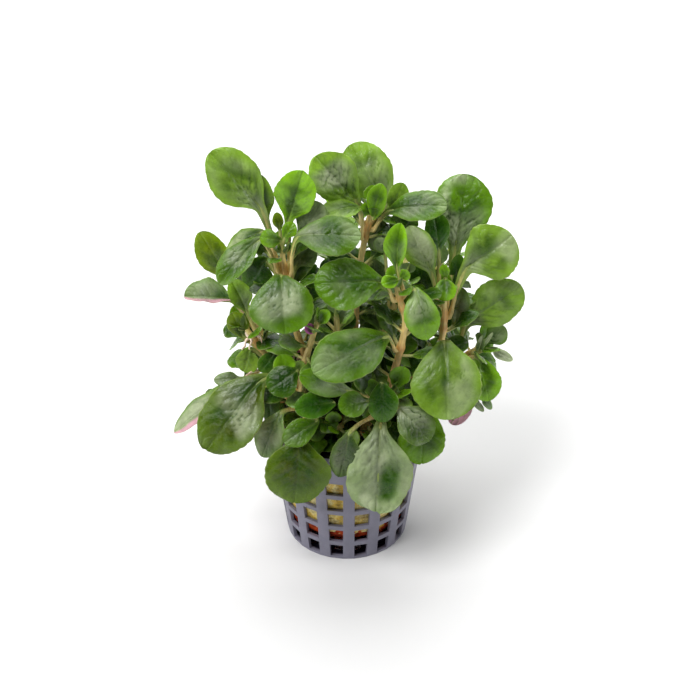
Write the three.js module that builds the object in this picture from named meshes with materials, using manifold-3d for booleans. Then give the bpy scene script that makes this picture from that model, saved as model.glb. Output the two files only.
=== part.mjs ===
// Potted cardinal flower: a young leafy plant rooted in rock wool in an aquarium net pot.
// Millimetres, +Z up. The origin is on the pot's axis, on the surface that the pot stands on.
// The side with the big front leaves looks along -Y.
import * as THREE from "three";
import Module from "manifold-3d";
import { mergeVertices } from "three/addons/utils/BufferGeometryUtils.js";

// Net pot
const POT_HEIGHT = 48;
const FOOT_RADIUS = 21;
const RIM_RADIUS = 27.2;
const WALL = 1.2;
const FLOOR = 1;
const LIP_WIDTH = 1.2;
const LIP_HEIGHT = 1.8;
const COLUMNS = 16;
const ROWS = 5;
const ROW_PITCH = 7.6;
const WINDOW_HEIGHT = 5.7;
const RIB_WIDTH = 3.9;
const HUB_RADIUS = 8;
const DRAIN_RADIUS = 17.5;
const FRONT = -90;
const WINDOW_TURN = -9.6;

// Rock wool plug
const GAP = 0.3;
const WOOL_BOTTOM = 9.5;
const WOOL_TOP = 46;
const WOOL_CROWN = 0.8;
const WOOL_RAG = 1.1;
const WOOL_SIDES = 24;

// Shoots
const STEM_SIDES = 5;
const STEM_STEP = 9;
const STEM_FOOT_RADIUS = 1.6;
const STEM_TIP_RADIUS = 0.9;
const STEM_UPRIGHT = 2.5;
const GOLDEN_TURN = 137.5;
const YOUNG_COUNT = 3;
const YOUNG_SPACING = 3.2;
const YOUNG_LOWEST = 1.5;
const OUTER_RISE = -8;
const INNER_RISE = 76;
const INNER_LENGTH = 0.42;
const YOUNG_WIDTH = 0.72;

// Leaves
const LEAF_THICK = 0.8;
const STALK_HALF_WIDTH = 0.75;
const STALK_TOP = 0.3;
const STALK_UNDER = 0.75;
const STALK_CLEAR = 0.75;
const TIP_HALF_WIDTH = 0.5;
const WIDEST = 0.56;
const STALK_STEPS = [0, 0.5, 1];
const BLADE_STEPS = [0.2, 0.46, 0.72, 0.91, 1];
const YOUNG_STALK_STEPS = [0, 1];
const YOUNG_BLADE_STEPS = [0.5, 1];
const YOUNG_STALK = 0.25;

// One row per shoot: where the stem leaves the wool, its route to its tip, the young leaves (turn
// and length of the lowest one, length of the straight stem tip that carries them), small tucked
// leaves that are fused to the stem, and the grown leaves from top to bottom.
// at: place of the stalk on the stem, from 0 to 1. neck: where stalk and blade meet. tip: end of
// the blade. wide: blade width. faces: where the upper side looks. arch: rise of the midrib over
// the straight line from neck to tip. fold: lift of both halves, in degrees.
const SHOOTS = [
  {
    name: "left",
    foot: [-7, -3],
    route: [[-12, -4, 68], [-18, -4, 92], [-20.8, -2, 115]],
    young: { turn: 100, reach: 8.5, leafy: 4 },
    tucked: [
      {
        at: 0.9, neck: [-15.1, 3, 117.7], tip: [-8.2, 4, 129.7],
        wide: 11, faces: [0, -0.8, 0.6], arch: 1, fold: 5,
      },
      {
        at: 0.76, neck: [-16.9, 2, 106], tip: [-11.3, 4, 114.4],
        wide: 9, faces: [0, -0.8, 0.6], arch: 1, fold: 5,
      },
      {
        at: 0.74, neck: [-25.7, 3, 107.6], tip: [-33.1, 3, 98.2],
        wide: 11, faces: [-0.1, -0.75, 0.65], arch: 1, fold: 5,
      },
    ],
    leaves: [
      {
        at: 0.93, neck: [-27, 0, 129.2], tip: [-43.1, 5, 148],
        wide: 16.5, faces: [0.3, -0.8, 0.5], arch: 2, fold: 8,
      },
      {
        at: 0.82, neck: [-18.6, 3.1, 122.8], tip: [-13.8, 3.2, 142.1],
        wide: 13.5, faces: [-0.1, -0.85, 0.45], arch: 1, fold: 10,
      },
      {
        at: 0.9, neck: [-27.1, -4, 120.7], tip: [-40.7, -13, 109.9],
        wide: 10, faces: [-0.3, -0.6, 0.75], arch: 2, fold: 14,
      },
      {
        at: 0.9, neck: [-27, 3, 118.9], tip: [-39.4, 5, 107.9],
        wide: 10, faces: [-0.3, -0.5, 0.8], arch: 2, fold: 5,
      },
      {
        at: 0.84, neck: [-21, -8, 110], tip: [-19.8, -20, 95.3],
        wide: 21, faces: [0, -0.85, 0.5], arch: 2, fold: 4,
      },
      {
        at: 0.88, neck: [-16, -5, 122], tip: [4.6, -8, 124.9],
        wide: 14.5, faces: [0.05, -0.5, 0.85], arch: 2, fold: 5,
      },
    ],
  },
  {
    name: "back",
    foot: [2, 5],
    route: [[2.5, 8, 72], [4, 11, 98], [8, 14, 121]],
    young: { turn: 10, reach: 10, leafy: 4 },
    tucked: [
      {
        at: 0.88, neck: [10, 16, 114.8], tip: [13, 15, 103.6],
        wide: 10, faces: [0.1, -0.85, 0.5], arch: 1, fold: 5,
      },
      {
        at: 0.66, neck: [8.4, 13, 101], tip: [11.8, 12, 90],
        wide: 10, faces: [0, -0.85, 0.5], arch: 1, fold: 5,
      },
    ],
    leaves: [
      {
        at: 0.93, neck: [12.6, 20, 118.9], tip: [1.4, 29, 136.8],
        wide: 17, faces: [0, -0.8, 0.6], arch: 2, fold: 4,
      },
      {
        at: 0.93, neck: [3, 13, 124.5], tip: [-10, 12, 142.3],
        wide: 15.5, faces: [0, -0.85, 0.5], arch: 1, fold: 8,
      },
      {
        at: 0.87, neck: [4.7, 9.3, 123.9], tip: [-8.2, 2.8, 125],
        wide: 10, faces: [0, -0.2, 1], arch: 2, fold: 6,
      },
      {
        at: 0.91, neck: [13.1, 12, 121.2], tip: [32.4, 8, 126],
        wide: 12, faces: [0, -0.45, 0.9], arch: 2, fold: 6,
      },
    ],
  },
  {
    name: "middle",
    foot: [7, -4],
    route: [[13, -7, 62], [17.5, -8, 80], [19, -8, 94], [15.6, -7, 105]],
    young: { turn: 170, reach: 8.5, leafy: 4 },
    leaves: [
      {
        at: 0.92, neck: [11.7, -9, 107.5], tip: [-10.4, -12, 109.2],
        wide: 17, faces: [0, -0.7, 0.72], arch: 2, fold: 5,
      },
      {
        at: 0.92, neck: [16.2, -6, 111.3], tip: [17.3, -3, 126.5],
        wide: 8, faces: [-0.4, -0.85, 0.2], arch: 1, fold: 34,
      },
      {
        at: 0.86, neck: [21.7, -9, 105], tip: [26.3, -16, 90],
        wide: 11.5, faces: [0.1, -0.8, 0.6], arch: 3, fold: 4,
      },
      {
        at: 0.6, neck: [13.4, -14, 89.8], tip: [-10.3, -36, 91.6],
        wide: 17.5, faces: [0.1, -0.6, 0.8], arch: 2, fold: 5,
      },
    ],
  },
  {
    name: "right",
    foot: [10, 2],
    route: [[20, 3, 58], [31, 1, 75], [32.3, 3, 95]],
    young: { turn: 100, reach: 9, leafy: 4 },
    leaves: [
      {
        at: 0.77, neck: [30.2, 6.8, 108.7], tip: [28.3, 11.2, 122],
        wide: 8.5, faces: [0.2, -0.9, 0.3], arch: 1, fold: 10,
      },
      {
        at: 0.88, neck: [35.7, 12, 106.8], tip: [39.3, 22, 129.6],
        wide: 20, faces: [0.1, -0.8, 0.6], arch: 1, fold: 4,
      },
      {
        at: 0.84, neck: [38.9, 6, 102.1], tip: [53.9, 8, 114.9],
        wide: 19.5, faces: [0.1, -0.8, 0.55], arch: 1, fold: 4,
      },
      {
        at: 0.65, neck: [31.9, -8, 83.8], tip: [32.8, -26, 65],
        wide: 23.5, faces: [0.05, -0.8, 0.55], arch: 3, fold: 3,
      },
      {
        at: 0.87, neck: [28, 4, 102.5], tip: [20.2, 6, 119.6],
        wide: 11.5, faces: [-0.3, -0.8, 0.5], arch: 1, fold: 16,
      },
    ],
  },
  {
    name: "low_right",
    foot: [11, 5],
    route: [[22, 8, 53], [34, 9, 60], [43, 8, 70]],
    young: { turn: 0, reach: 13, leafy: 5 },
    tucked: [
      {
        at: 0.72, neck: [46.4, 9, 70.7], tip: [53.7, 10, 76.3],
        wide: 7.5, faces: [0, -0.85, 0.5], arch: 1, fold: 5,
      },
      {
        at: 0.66, neck: [47.6, 9, 68.2], tip: [56.6, 9, 63.6],
        wide: 5, faces: [0, -0.7, 0.7], arch: 1, fold: 5,
      },
    ],
    leaves: [
      {
        at: 0.86, neck: [40, 8, 78.9], tip: [57.5, 6, 96.5],
        wide: 15.5, faces: [0.1, -0.85, 0.5], arch: 1, fold: 4,
      },
      {
        at: 0.91, neck: [43.9, 5.4, 67.2], tip: [48.3, -1.6, 54.1],
        wide: 11.5, faces: [0.2, -0.85, 0.4], arch: 2, fold: 3,
      },
      {
        at: 0.7, neck: [42.5, 8, 50], tip: [36, 6, 38.3],
        wide: 8, faces: [0.3, 0.85, -0.3], arch: 1, fold: 3,
      },
    ],
  },
  {
    name: "low_left",
    foot: [-10, 1],
    route: [[-18, -2, 60], [-27, -2, 74], [-34, 0, 84]],
    young: { turn: 170, reach: 10, leafy: 5 },
    tucked: [
      {
        at: 0.66, neck: [-33.8, -1, 80], tip: [-37.8, -1, 90.2],
        wide: 7.5, faces: [0, -0.85, 0.5], arch: 1, fold: 5,
      },
      {
        at: 0.56, neck: [-31.4, -4, 77.3], tip: [-34.6, -5, 68.9],
        wide: 8, faces: [-0.1, -0.85, 0.5], arch: 1, fold: 5,
      },
    ],
    leaves: [
      {
        at: 0.52, neck: [-37.5, 7.5, 96.4], tip: [-48.4, 12.2, 113.3],
        wide: 10.5, faces: [-0.1, -0.85, 0.5], arch: 1, fold: 4,
      },
      {
        at: 0.86, neck: [-37.2, 2.2, 92.7], tip: [-53.5, 1.4, 95.3],
        wide: 12, faces: [-0.1, -0.1, 0.98], arch: 0.5, fold: 28,
      },
      {
        at: 0.82, neck: [-32.8, -1, 90.6], tip: [-37.7, -1, 103.5],
        wide: 7.5, faces: [0.3, -0.85, 0.4], arch: 1, fold: 20,
      },
    ],
  },
  {
    name: "front_left",
    foot: [-8, -8],
    route: [[-12, -12, 56], [-16, -15, 66], [-18, -16, 74]],
    young: { turn: 140, reach: 12, leafy: 5 },
    leaves: [
      {
        at: 0.8, neck: [-26.8, -17, 75], tip: [-46.3, -28, 54],
        wide: 20.5, faces: [-0.25, -0.75, 0.6], arch: 3, fold: 5,
      },
      {
        at: 0.62, neck: [-33.2, -9, 68.2], tip: [-58.5, -9, 46.6],
        wide: 9.5, faces: [-0.2, -0.3, 0.93], arch: 1.5, fold: 15,
      },
      {
        at: 0.82, neck: [-15.8, -20, 80.5], tip: [-25.5, -24, 75.8],
        wide: 10.5, faces: [0, -0.75, 0.65], arch: 1, fold: 3,
      },
      {
        at: 0.6, neck: [-21.3, -20, 63.6], tip: [-28.2, -24, 47.8],
        wide: 10, faces: [-0.2, -0.85, 0.5], arch: 2, fold: 3,
      },
      {
        at: 0.82, neck: [-9.9, -25.6, 64.7], tip: [-20.5, -31.5, 59.8],
        wide: 8.5, faces: [0, -0.8, 0.6], arch: 1, fold: 6,
      },
      {
        at: 0.5, neck: [-15.3, -27, 58.7], tip: [-17.5, -34, 36.3],
        wide: 22, faces: [0, -0.87, 0.45], arch: 2, fold: 3,
      },
      {
        at: 0.7, neck: [-4, -24, 71], tip: [-16.6, -31, 73],
        wide: 9, faces: [0, -0.6, 0.8], arch: 1, fold: 3,
      },
    ],
  },
  {
    name: "front_right",
    foot: [5, -9],
    route: [[9, -12, 55], [13, -15, 63], [15, -17, 70]],
    young: { turn: 40, reach: 12, leafy: 5 },
    leaves: [
      {
        at: 0.5, neck: [1.2, -28, 61.5], tip: [-2.4, -31, 45],
        wide: 10, faces: [0, -0.87, 0.45], arch: 1, fold: 3,
      },
      {
        at: 0.7, neck: [11, -26, 61.7], tip: [9.7, -36, 34],
        wide: 22, faces: [0, -0.87, 0.45], arch: 2, fold: 10,
      },
      {
        at: 0.62, neck: [25, -16, 62], tip: [25, -24, 44.8],
        wide: 16, faces: [0.15, -0.85, 0.5], arch: 2, fold: 3,
      },
      {
        at: 0.78, neck: [16.7, -24, 68.4], tip: [27.3, -28, 58],
        wide: 12.5, faces: [0.2, -0.75, 0.65], arch: 2, fold: 3,
      },
      {
        at: 0.84, neck: [7.5, -25.3, 72.4], tip: [-2.5, -30.9, 73.5],
        wide: 9, faces: [0, -0.6, 0.8], arch: 1, fold: 3,
      },
      {
        at: 0.91, neck: [11.4, -23.1, 78.1], tip: [11.8, -28.6, 66],
        wide: 10, faces: [0, -0.8, 0.6], arch: 1, fold: 3,
      },
      {
        at: 0.8, neck: [1.7, -20, 72], tip: [-15, -27, 84],
        wide: 9, faces: [0, -0.7, 0.7], arch: 1, fold: 3,
      },
    ],
  },
  {
    name: "inner_back",
    foot: [-1, -1],
    route: [[-2, -3, 72], [2, -5, 91]],
    young: { turn: 330, reach: 18, leafy: 24 },
    leaves: [],
  },
  {
    name: "inner_top",
    foot: [3, 1],
    route: [[11, 4, 74], [8, 0, 100]],
    young: { turn: 190, reach: 16, leafy: 30 },
    leaves: [],
  },
  {
    name: "inner_left",
    foot: [-4, -6],
    route: [[-16, -8, 59], [-9, -12, 94]],
    young: { turn: 150, reach: 15, leafy: 18 },
    leaves: [],
  },
  {
    name: "inner_right",
    foot: [9, -2],
    route: [[20, -4, 54], [26, 4, 66]],
    young: { turn: 150, reach: 16, leafy: 14 },
    leaves: [],
  },
  {
    name: "inner_low",
    foot: [-1, -9],
    route: [[-2, -13, 52], [-4, -17, 56]],
    young: { turn: 30, reach: 14, leafy: 6 },
    leaves: [],
  },
  {
    name: "side_left",
    foot: [-12, 4],
    route: [[-29, 7, 50], [-33, 15, 59]],
    young: { turn: 310, reach: 17, leafy: 18 },
    leaves: [],
  },
  {
    name: "side_right",
    foot: [12, 8],
    route: [[23, 17, 54], [36, 21, 66]],
    young: { turn: 90, reach: 21, leafy: 20 },
    leaves: [],
  },
  {
    name: "rear_left",
    foot: [-7, 9],
    route: [[-18, 15, 60], [-19, 31, 74], [-25, 39, 86]],
    young: { turn: 100, reach: 20, leafy: 34 },
    leaves: [],
  },
  {
    name: "rear_right",
    foot: [7, 10],
    route: [[15, 18, 63], [25, 29, 75], [25, 35, 91]],
    young: { turn: 60, reach: 26, leafy: 32 },
    leaves: [],
  },
  {
    name: "rear_middle",
    foot: [0, 12],
    route: [[-2, 23, 67], [2, 29, 93], [7, 36, 108]],
    young: { turn: 80, reach: 26, leafy: 38 },
    leaves: [],
  },
  {
    name: "rear_low",
    foot: [0, 17],
    route: [[3, 25, 53], [3, 35, 55], [9, 44, 65]],
    young: { turn: 150, reach: 25, leafy: 18 },
    leaves: [],
  },
];

const wasm = await Module();
wasm.setup();

// Vectors and meshes

const vec = (list) => new THREE.Vector3(...list);
const radians = THREE.MathUtils.degToRad;
const mix = THREE.MathUtils.lerp;

function closedMesh(points, faces) {
  const geometry = new THREE.BufferGeometry();
  const corners = faces.flat().flatMap((index) => points[index].toArray());
  geometry.setAttribute("position", new THREE.Float32BufferAttribute(corners, 3));
  return mergeVertices(geometry, 1e-4);
}

// Skin over equal rings of points, closed at both ends by a fan.
function loft(rings) {
  const size = rings[0].length;
  const faces = [];
  for (let r = 0; r + 1 < rings.length; r += 1) {
    for (let s = 0; s < size; s += 1) {
      const a = r * size + s;
      const b = r * size + ((s + 1) % size);
      faces.push([a, b, b + size], [a, b + size, a + size]);
    }
  }
  const last = (rings.length - 1) * size;
  for (let s = 1; s + 1 < size; s += 1) {
    faces.push([0, s + 1, s], [last, last + s, last + s + 1]);
  }
  return closedMesh(rings.flat(), faces);
}

function toManifold(geometry) {
  return new wasm.Manifold(new wasm.Mesh({
    numProp: 3,
    vertProperties: new Float32Array(geometry.attributes.position.array),
    triVerts: new Uint32Array(geometry.index.array),
  }));
}

function joined(geometries) {
  const whole = geometries.map(toManifold).reduce((sum, next) => sum.add(next));
  const mesh = whole.getMesh();
  const geometry = new THREE.BufferGeometry();
  geometry.setAttribute("position", new THREE.BufferAttribute(mesh.vertProperties, 3));
  geometry.setIndex(new THREE.BufferAttribute(mesh.triVerts, 1));
  return geometry;
}

// Materials

function plasticMaterial() {
  return new THREE.MeshStandardMaterial({ color: 0x7d7c8c, roughness: 0.5, metalness: 0 });
}

function woolMaterial() {
  return new THREE.MeshStandardMaterial({ color: 0xb8983f, roughness: 0.95, metalness: 0 });
}

function stemMaterial() {
  return new THREE.MeshStandardMaterial({ color: 0xa9854a, roughness: 0.6, metalness: 0 });
}

function leafMaterial() {
  return new THREE.MeshStandardMaterial({ color: 0x4f7d23, roughness: 0.4, metalness: 0 });
}

// Net pot: cells between height levels, sectors and radii. A cell is plastic or open, and a face
// is made wherever plastic meets an open cell.

const potRadius = (z) => mix(FOOT_RADIUS, RIM_RADIUS, z / POT_HEIGHT);

function potLevels() {
  const levels = [0];
  for (let row = 0; row < ROWS; row += 1) {
    const low = FLOOR + row * ROW_PITCH;
    levels.push(low, low + WINDOW_HEIGHT);
  }
  levels.push(POT_HEIGHT - LIP_HEIGHT, POT_HEIGHT);
  return levels;
}

function isPlastic(level, sector, band, topLevel) {
  const inWindowSector = sector % 2 === 1;
  const windowLevel = level % 2 === 1 && level < 2 * ROWS;
  if (band === 4) return level === topLevel;
  if (band === 3) return !(windowLevel && inWindowSector);
  if (level !== 0) return false;
  return !(band === 1 && inWindowSector);
}

function makePot() {
  const levels = potLevels();
  const sectors = 2 * COLUMNS;
  const bands = 5;
  const pitch = 360 / COLUMNS;
  const radii = (z) => [
    0, HUB_RADIUS, DRAIN_RADIUS, potRadius(z) - WALL, potRadius(z), potRadius(z) + LIP_WIDTH,
  ];
  const points = [];
  for (const z of levels) {
    const halfRib = THREE.MathUtils.radToDeg(RIB_WIDTH / 2 / potRadius(z));
    for (let edge = 0; edge < sectors; edge += 1) {
      const ribCentre = FRONT + WINDOW_TURN + (Math.floor(edge / 2) + 0.5) * pitch;
      const angle = radians(ribCentre + (edge % 2 ? halfRib : -halfRib));
      for (const r of radii(z)) {
        points.push(new THREE.Vector3(r * Math.cos(angle), r * Math.sin(angle), z));
      }
    }
  }
  const index = (level, edge, band) => {
    const ring = (edge + sectors) % sectors;
    return (level * sectors + (band === 0 ? 0 : ring)) * (bands + 1) + band;
  };
  const topLevel = levels.length - 2;
  const plastic = (level, sector, band) => (
    level >= 0 && level <= topLevel && band >= 0 && band < bands
    && isPlastic(level, (sector + sectors) % sectors, band, topLevel)
  );
  const faces = [];
  const quad = (a, b, c, d) => {
    for (const face of [[a, b, c], [a, c, d]]) {
      if (new Set(face).size === 3) faces.push(face);
    }
  };
  for (let l = 0; l <= topLevel; l += 1) {
    for (let s = 0; s < sectors; s += 1) {
      for (let b = 0; b < bands; b += 1) {
        if (!plastic(l, s, b)) continue;
        const at = (dl, ds, db) => index(l + dl, s + ds, b + db);
        if (!plastic(l - 1, s, b)) quad(at(0, 0, 0), at(0, 1, 0), at(0, 1, 1), at(0, 0, 1));
        if (!plastic(l + 1, s, b)) quad(at(1, 0, 0), at(1, 0, 1), at(1, 1, 1), at(1, 1, 0));
        if (!plastic(l, s - 1, b)) quad(at(0, 0, 0), at(0, 0, 1), at(1, 0, 1), at(1, 0, 0));
        if (!plastic(l, s + 1, b)) quad(at(0, 1, 0), at(1, 1, 0), at(1, 1, 1), at(0, 1, 1));
        if (!plastic(l, s, b - 1)) quad(at(0, 0, 0), at(1, 0, 0), at(1, 1, 0), at(0, 1, 0));
        if (!plastic(l, s, b + 1)) quad(at(0, 0, 1), at(0, 1, 1), at(1, 1, 1), at(1, 0, 1));
      }
    }
  }
  return closedMesh(points, faces);
}

// Rock wool: a turned plug with a ragged lower edge.

function makeWool() {
  const inner = (z) => potRadius(z) - WALL - GAP - 0.2;
  const middle = (WOOL_BOTTOM + WOOL_TOP) / 2;
  const profile = [
    [0, WOOL_BOTTOM + WOOL_RAG],
    [inner(WOOL_BOTTOM) * 0.6, WOOL_BOTTOM + WOOL_RAG],
    [inner(WOOL_BOTTOM), WOOL_BOTTOM],
    [inner(middle), middle],
    [inner(WOOL_TOP), WOOL_TOP - WOOL_CROWN],
    [inner(WOOL_TOP) * 0.6, WOOL_TOP],
    [0, WOOL_TOP],
  ].map(([x, y]) => new THREE.Vector2(x, y));
  const geometry = new THREE.LatheGeometry(profile, WOOL_SIDES);
  geometry.rotateX(Math.PI / 2);
  geometry.deleteAttribute("normal");
  geometry.deleteAttribute("uv");
  const place = geometry.attributes.position;
  for (let i = 0; i < place.count; i += 1) {
    const turn = Math.atan2(place.getY(i), place.getX(i));
    const low = place.getZ(i) < WOOL_BOTTOM + 0.1;
    if (low) place.setZ(i, WOOL_BOTTOM + WOOL_RAG * (Math.sin(5 * turn) + Math.sin(9 * turn + 1)) / 2);
  }
  return mergeVertices(geometry, 1e-3);
}

// Leaves. A leaf is a loft of four-point rings: left edge, top, right edge, underside.

function midrib(base, neck, tip, faces, arch) {
  const middle = neck.clone().lerp(tip, 0.5).addScaledVector(faces, arch);
  return new THREE.CatmullRomCurve3([base, neck, middle, tip], false, "centripetal");
}

function bladeHalfWidth(u, wide) {
  const bulge = Math.sin(Math.PI * u ** (Math.log(0.5) / Math.log(WIDEST)));
  const roundness = mix(0.95, 0.5, THREE.MathUtils.smoothstep(u, 0.05, 0.7));
  return Math.max(TIP_HALF_WIDTH, (wide / 2) * Math.max(0, bulge) ** roundness);
}

// Directions of the upper side along the midrib, turned as little as possible from ring to ring.
function upperSides(tangents, faces) {
  const middle = tangents.length - 3;
  const flatten = (up, along) => up.clone().addScaledVector(along, -up.dot(along)).normalize();
  const ups = [];
  ups[middle] = flatten(faces, tangents[middle]);
  for (let i = middle - 1; i >= 0; i -= 1) ups[i] = flatten(ups[i + 1], tangents[i]);
  for (let i = middle + 1; i < tangents.length; i += 1) ups[i] = flatten(ups[i - 1], tangents[i]);
  return ups;
}

function leafSections(wide, fold, stalkSteps, bladeSteps) {
  const stalk = stalkSteps.map((s) => (
    { t: s / 3, half: STALK_HALF_WIDTH, lift: 0, top: STALK_TOP, under: STALK_UNDER }
  ));
  const blade = bladeSteps.map((u) => {
    const half = bladeHalfWidth(u, wide);
    const lift = half * Math.tan(radians(fold * Math.min(1, 3 * u)));
    const thick = LEAF_THICK * (1 - 0.4 * u) * 0.5;
    return { t: (1 + 2 * u) / 3, half, lift, top: thick, under: thick };
  });
  return [...stalk, ...blade];
}

function makeLeaf({ base, neck, tip, wide, faces, arch, fold, young = false }) {
  const look = vec(faces).normalize();
  const curve = midrib(base, neck, tip, look, arch);
  const sections = young
    ? leafSections(wide, fold, YOUNG_STALK_STEPS, YOUNG_BLADE_STEPS)
    : leafSections(wide, fold, STALK_STEPS, BLADE_STEPS);
  const tangents = sections.map(({ t }) => curve.getTangent(t));
  const ups = upperSides(tangents, look);
  return loft(sections.map(({ t, half, lift, top, under }, i) => {
    const centre = curve.getPoint(t);
    const side = tangents[i].clone().cross(ups[i]);
    const offset = (across, up) => (
      centre.clone().addScaledVector(side, across).addScaledVector(ups[i], up)
    );
    const ring = [offset(-half, lift), offset(0, top), offset(half, lift), offset(0, -under)];
    return young ? ring.filter((_, corner) => corner !== 1) : ring;
  }));
}

// Shoots. A stem follows its route and ends in a straight tip that carries the young leaves.

function stemSpine({ foot, route, young }) {
  const start = new THREE.Vector3(foot[0], foot[1], WOOL_TOP + GAP);
  const upright = start.clone().setZ(start.z + STEM_UPRIGHT);
  const curve = new THREE.CatmullRomCurve3([start, upright, ...route.map(vec)]);
  const bare = 1 - young.leafy / curve.getLength();
  const steps = Math.max(2, Math.round((bare * curve.getLength()) / STEM_STEP));
  const centres = Array.from({ length: steps + 1 }, (_, i) => curve.getPointAt((bare * i) / steps));
  const [before, last] = centres.slice(-2);
  const axis = last.clone().sub(before).normalize();
  return [...centres, last.clone().addScaledVector(axis, young.leafy)];
}

function stemRing(centre, along, radius) {
  const side = new THREE.Vector3(0, 1, 0).cross(along).normalize();
  const front = along.clone().cross(side);
  return Array.from({ length: STEM_SIDES }, (_, s) => {
    const angle = (2 * Math.PI * s) / STEM_SIDES;
    return centre.clone()
      .addScaledVector(side, radius * Math.cos(angle))
      .addScaledVector(front, radius * Math.sin(angle));
  });
}

const stemRadius = (t) => mix(STEM_FOOT_RADIUS, STEM_TIP_RADIUS, t);

function makeStem(spine) {
  const last = spine.length - 1;
  return loft(spine.map((centre, i) => {
    const ahead = spine[Math.min(i + 1, last)];
    const along = i === 0
      ? new THREE.Vector3(0, 0, 1)
      : ahead.clone().sub(spine[i - 1]).normalize();
    return stemRing(centre, along, stemRadius(i / last));
  }));
}

function youngLeaves(spine, { turn, reach, leafy }) {
  const [before, apex] = spine.slice(-2);
  const axis = apex.clone().sub(before).normalize();
  const side = new THREE.Vector3(0, 1, 0).cross(axis).normalize();
  const front = axis.clone().cross(side);
  const count = YOUNG_COUNT + Math.round(leafy / YOUNG_SPACING);
  return Array.from({ length: count }, (_, i) => {
    const share = i / (count - 1);
    const angle = radians(turn + i * GOLDEN_TURN);
    const rise = radians(mix(OUTER_RISE, INNER_RISE, share ** 1.5));
    const length = reach * mix(1, INNER_LENGTH, share);
    const base = apex.clone().addScaledVector(axis, -mix(leafy - YOUNG_LOWEST, GAP, share));
    const out = side.clone().multiplyScalar(Math.cos(angle)).addScaledVector(front, Math.sin(angle));
    const reached = (part) => base.clone()
      .addScaledVector(out, part * length * Math.cos(rise))
      .addScaledVector(axis, part * length * Math.sin(rise));
    const faces = axis.clone().multiplyScalar(Math.cos(rise)).addScaledVector(out, -Math.sin(rise));
    return makeLeaf({
      base,
      neck: reached(YOUNG_STALK),
      tip: reached(1),
      wide: length * YOUNG_WIDTH,
      faces: faces.toArray(),
      arch: length * 0.08,
      fold: 0,
      young: true,
    });
  });
}

function straightPath(spine) {
  const path = new THREE.CurvePath();
  spine.slice(1).forEach((point, i) => path.add(new THREE.LineCurve3(spine[i], point)));
  return path;
}

// A tucked leaf starts inside the stem.
function tuckedLeaf(spine, row) {
  const base = straightPath(spine).getPointAt(row.at);
  return makeLeaf({ ...row, base, neck: vec(row.neck), tip: vec(row.tip), young: true });
}

// The stalk starts beside the stem, on the side that its leaf leans to.
function stalkBase(spine, at, neck) {
  const path = straightPath(spine);
  const foot = path.getPointAt(at);
  const along = path.getTangentAt(at);
  const out = neck.clone().sub(foot);
  out.addScaledVector(along, -out.dot(along)).normalize();
  return foot.addScaledVector(out, stemRadius(at) + STALK_CLEAR);
}

// The whole plant

const plant = new THREE.Group();

function add(name, geometry, material) {
  const mesh = new THREE.Mesh(geometry, material);
  mesh.name = name;
  plant.add(mesh);
}

function addShoot(shoot) {
  const spine = stemSpine(shoot);
  const stem = joined([
    makeStem(spine),
    ...youngLeaves(spine, shoot.young),
    ...(shoot.tucked ?? []).map((row) => tuckedLeaf(spine, row)),
  ]);
  add(`stem_${shoot.name}`, stem, stemMaterial());
  shoot.leaves.forEach((row, i) => {
    const neck = vec(row.neck);
    const leaf = makeLeaf({ ...row, base: stalkBase(spine, row.at, neck), neck, tip: vec(row.tip) });
    add(`leaf_${shoot.name}_${i + 1}`, leaf, leafMaterial());
  });
}

add("net_pot", makePot(), plasticMaterial());
add("rock_wool_plug", makeWool(), woolMaterial());
SHOOTS.forEach(addShoot);

export default plant;
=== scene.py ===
"""Potted cardinal flower: leafy shoots rooted in rock wool in a net pot, in metres, +Z up."""
import math
import random

import bmesh
import bpy
from bpy.props import FloatProperty, FloatVectorProperty, IntProperty, PointerProperty
from mathutils import Euler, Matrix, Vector, noise


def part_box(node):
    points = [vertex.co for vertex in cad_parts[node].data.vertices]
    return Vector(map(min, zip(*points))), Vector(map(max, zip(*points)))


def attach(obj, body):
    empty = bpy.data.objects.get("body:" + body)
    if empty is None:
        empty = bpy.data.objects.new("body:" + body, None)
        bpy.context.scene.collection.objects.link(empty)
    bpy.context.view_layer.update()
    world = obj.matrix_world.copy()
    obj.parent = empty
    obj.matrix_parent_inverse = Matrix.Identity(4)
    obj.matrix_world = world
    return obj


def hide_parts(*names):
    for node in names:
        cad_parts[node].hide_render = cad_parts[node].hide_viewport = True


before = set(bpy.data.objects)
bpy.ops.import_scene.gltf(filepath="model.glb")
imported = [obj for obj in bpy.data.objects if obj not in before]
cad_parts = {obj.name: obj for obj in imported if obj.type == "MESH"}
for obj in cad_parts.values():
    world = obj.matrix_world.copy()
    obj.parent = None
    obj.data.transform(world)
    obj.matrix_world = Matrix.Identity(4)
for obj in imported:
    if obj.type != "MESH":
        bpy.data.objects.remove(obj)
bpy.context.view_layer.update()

bl_info = {
    "name": "Potted cardinal flower",
    "version": (1, 0, 0),
    "blender": (4, 5, 0),
    "location": "View3D > Sidebar > Potted plant",
    "description": "Leafy aquarium plant in a net pot, built on the packed solids",
    "category": "Add Mesh",
}

MM = 0.001
BODY = "root"
SEED = 11

# Steps of the solids' leaf lofts: three rings on the stalk, then rings along the blade.
STALK_PLACES = [0, 1 / 6, 1 / 3]
BLADE_STEPS = [0.2, 0.46, 0.72, 0.91, 1]
BLADE_START = 1 / 3
WIDEST = 0.56
LEAF_RING = 4
STEM_RING = 5
# Gap that parts each solid from its neighbours.
CLEARANCE = 0.3 * MM

# Steps along and across the blade, round and along the stalk, of each kind of leaf.
GROWN_STEPS = (60, 44, 10, 30)
YOUNG_STEPS = (18, 14, 6, 10)
BUD_STEPS = (18, 14, 6, 8)
PLACED_STEPS = (30, 24, 8, 14)
FILLING_STEPS = (22, 16, 6, 12)
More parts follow.
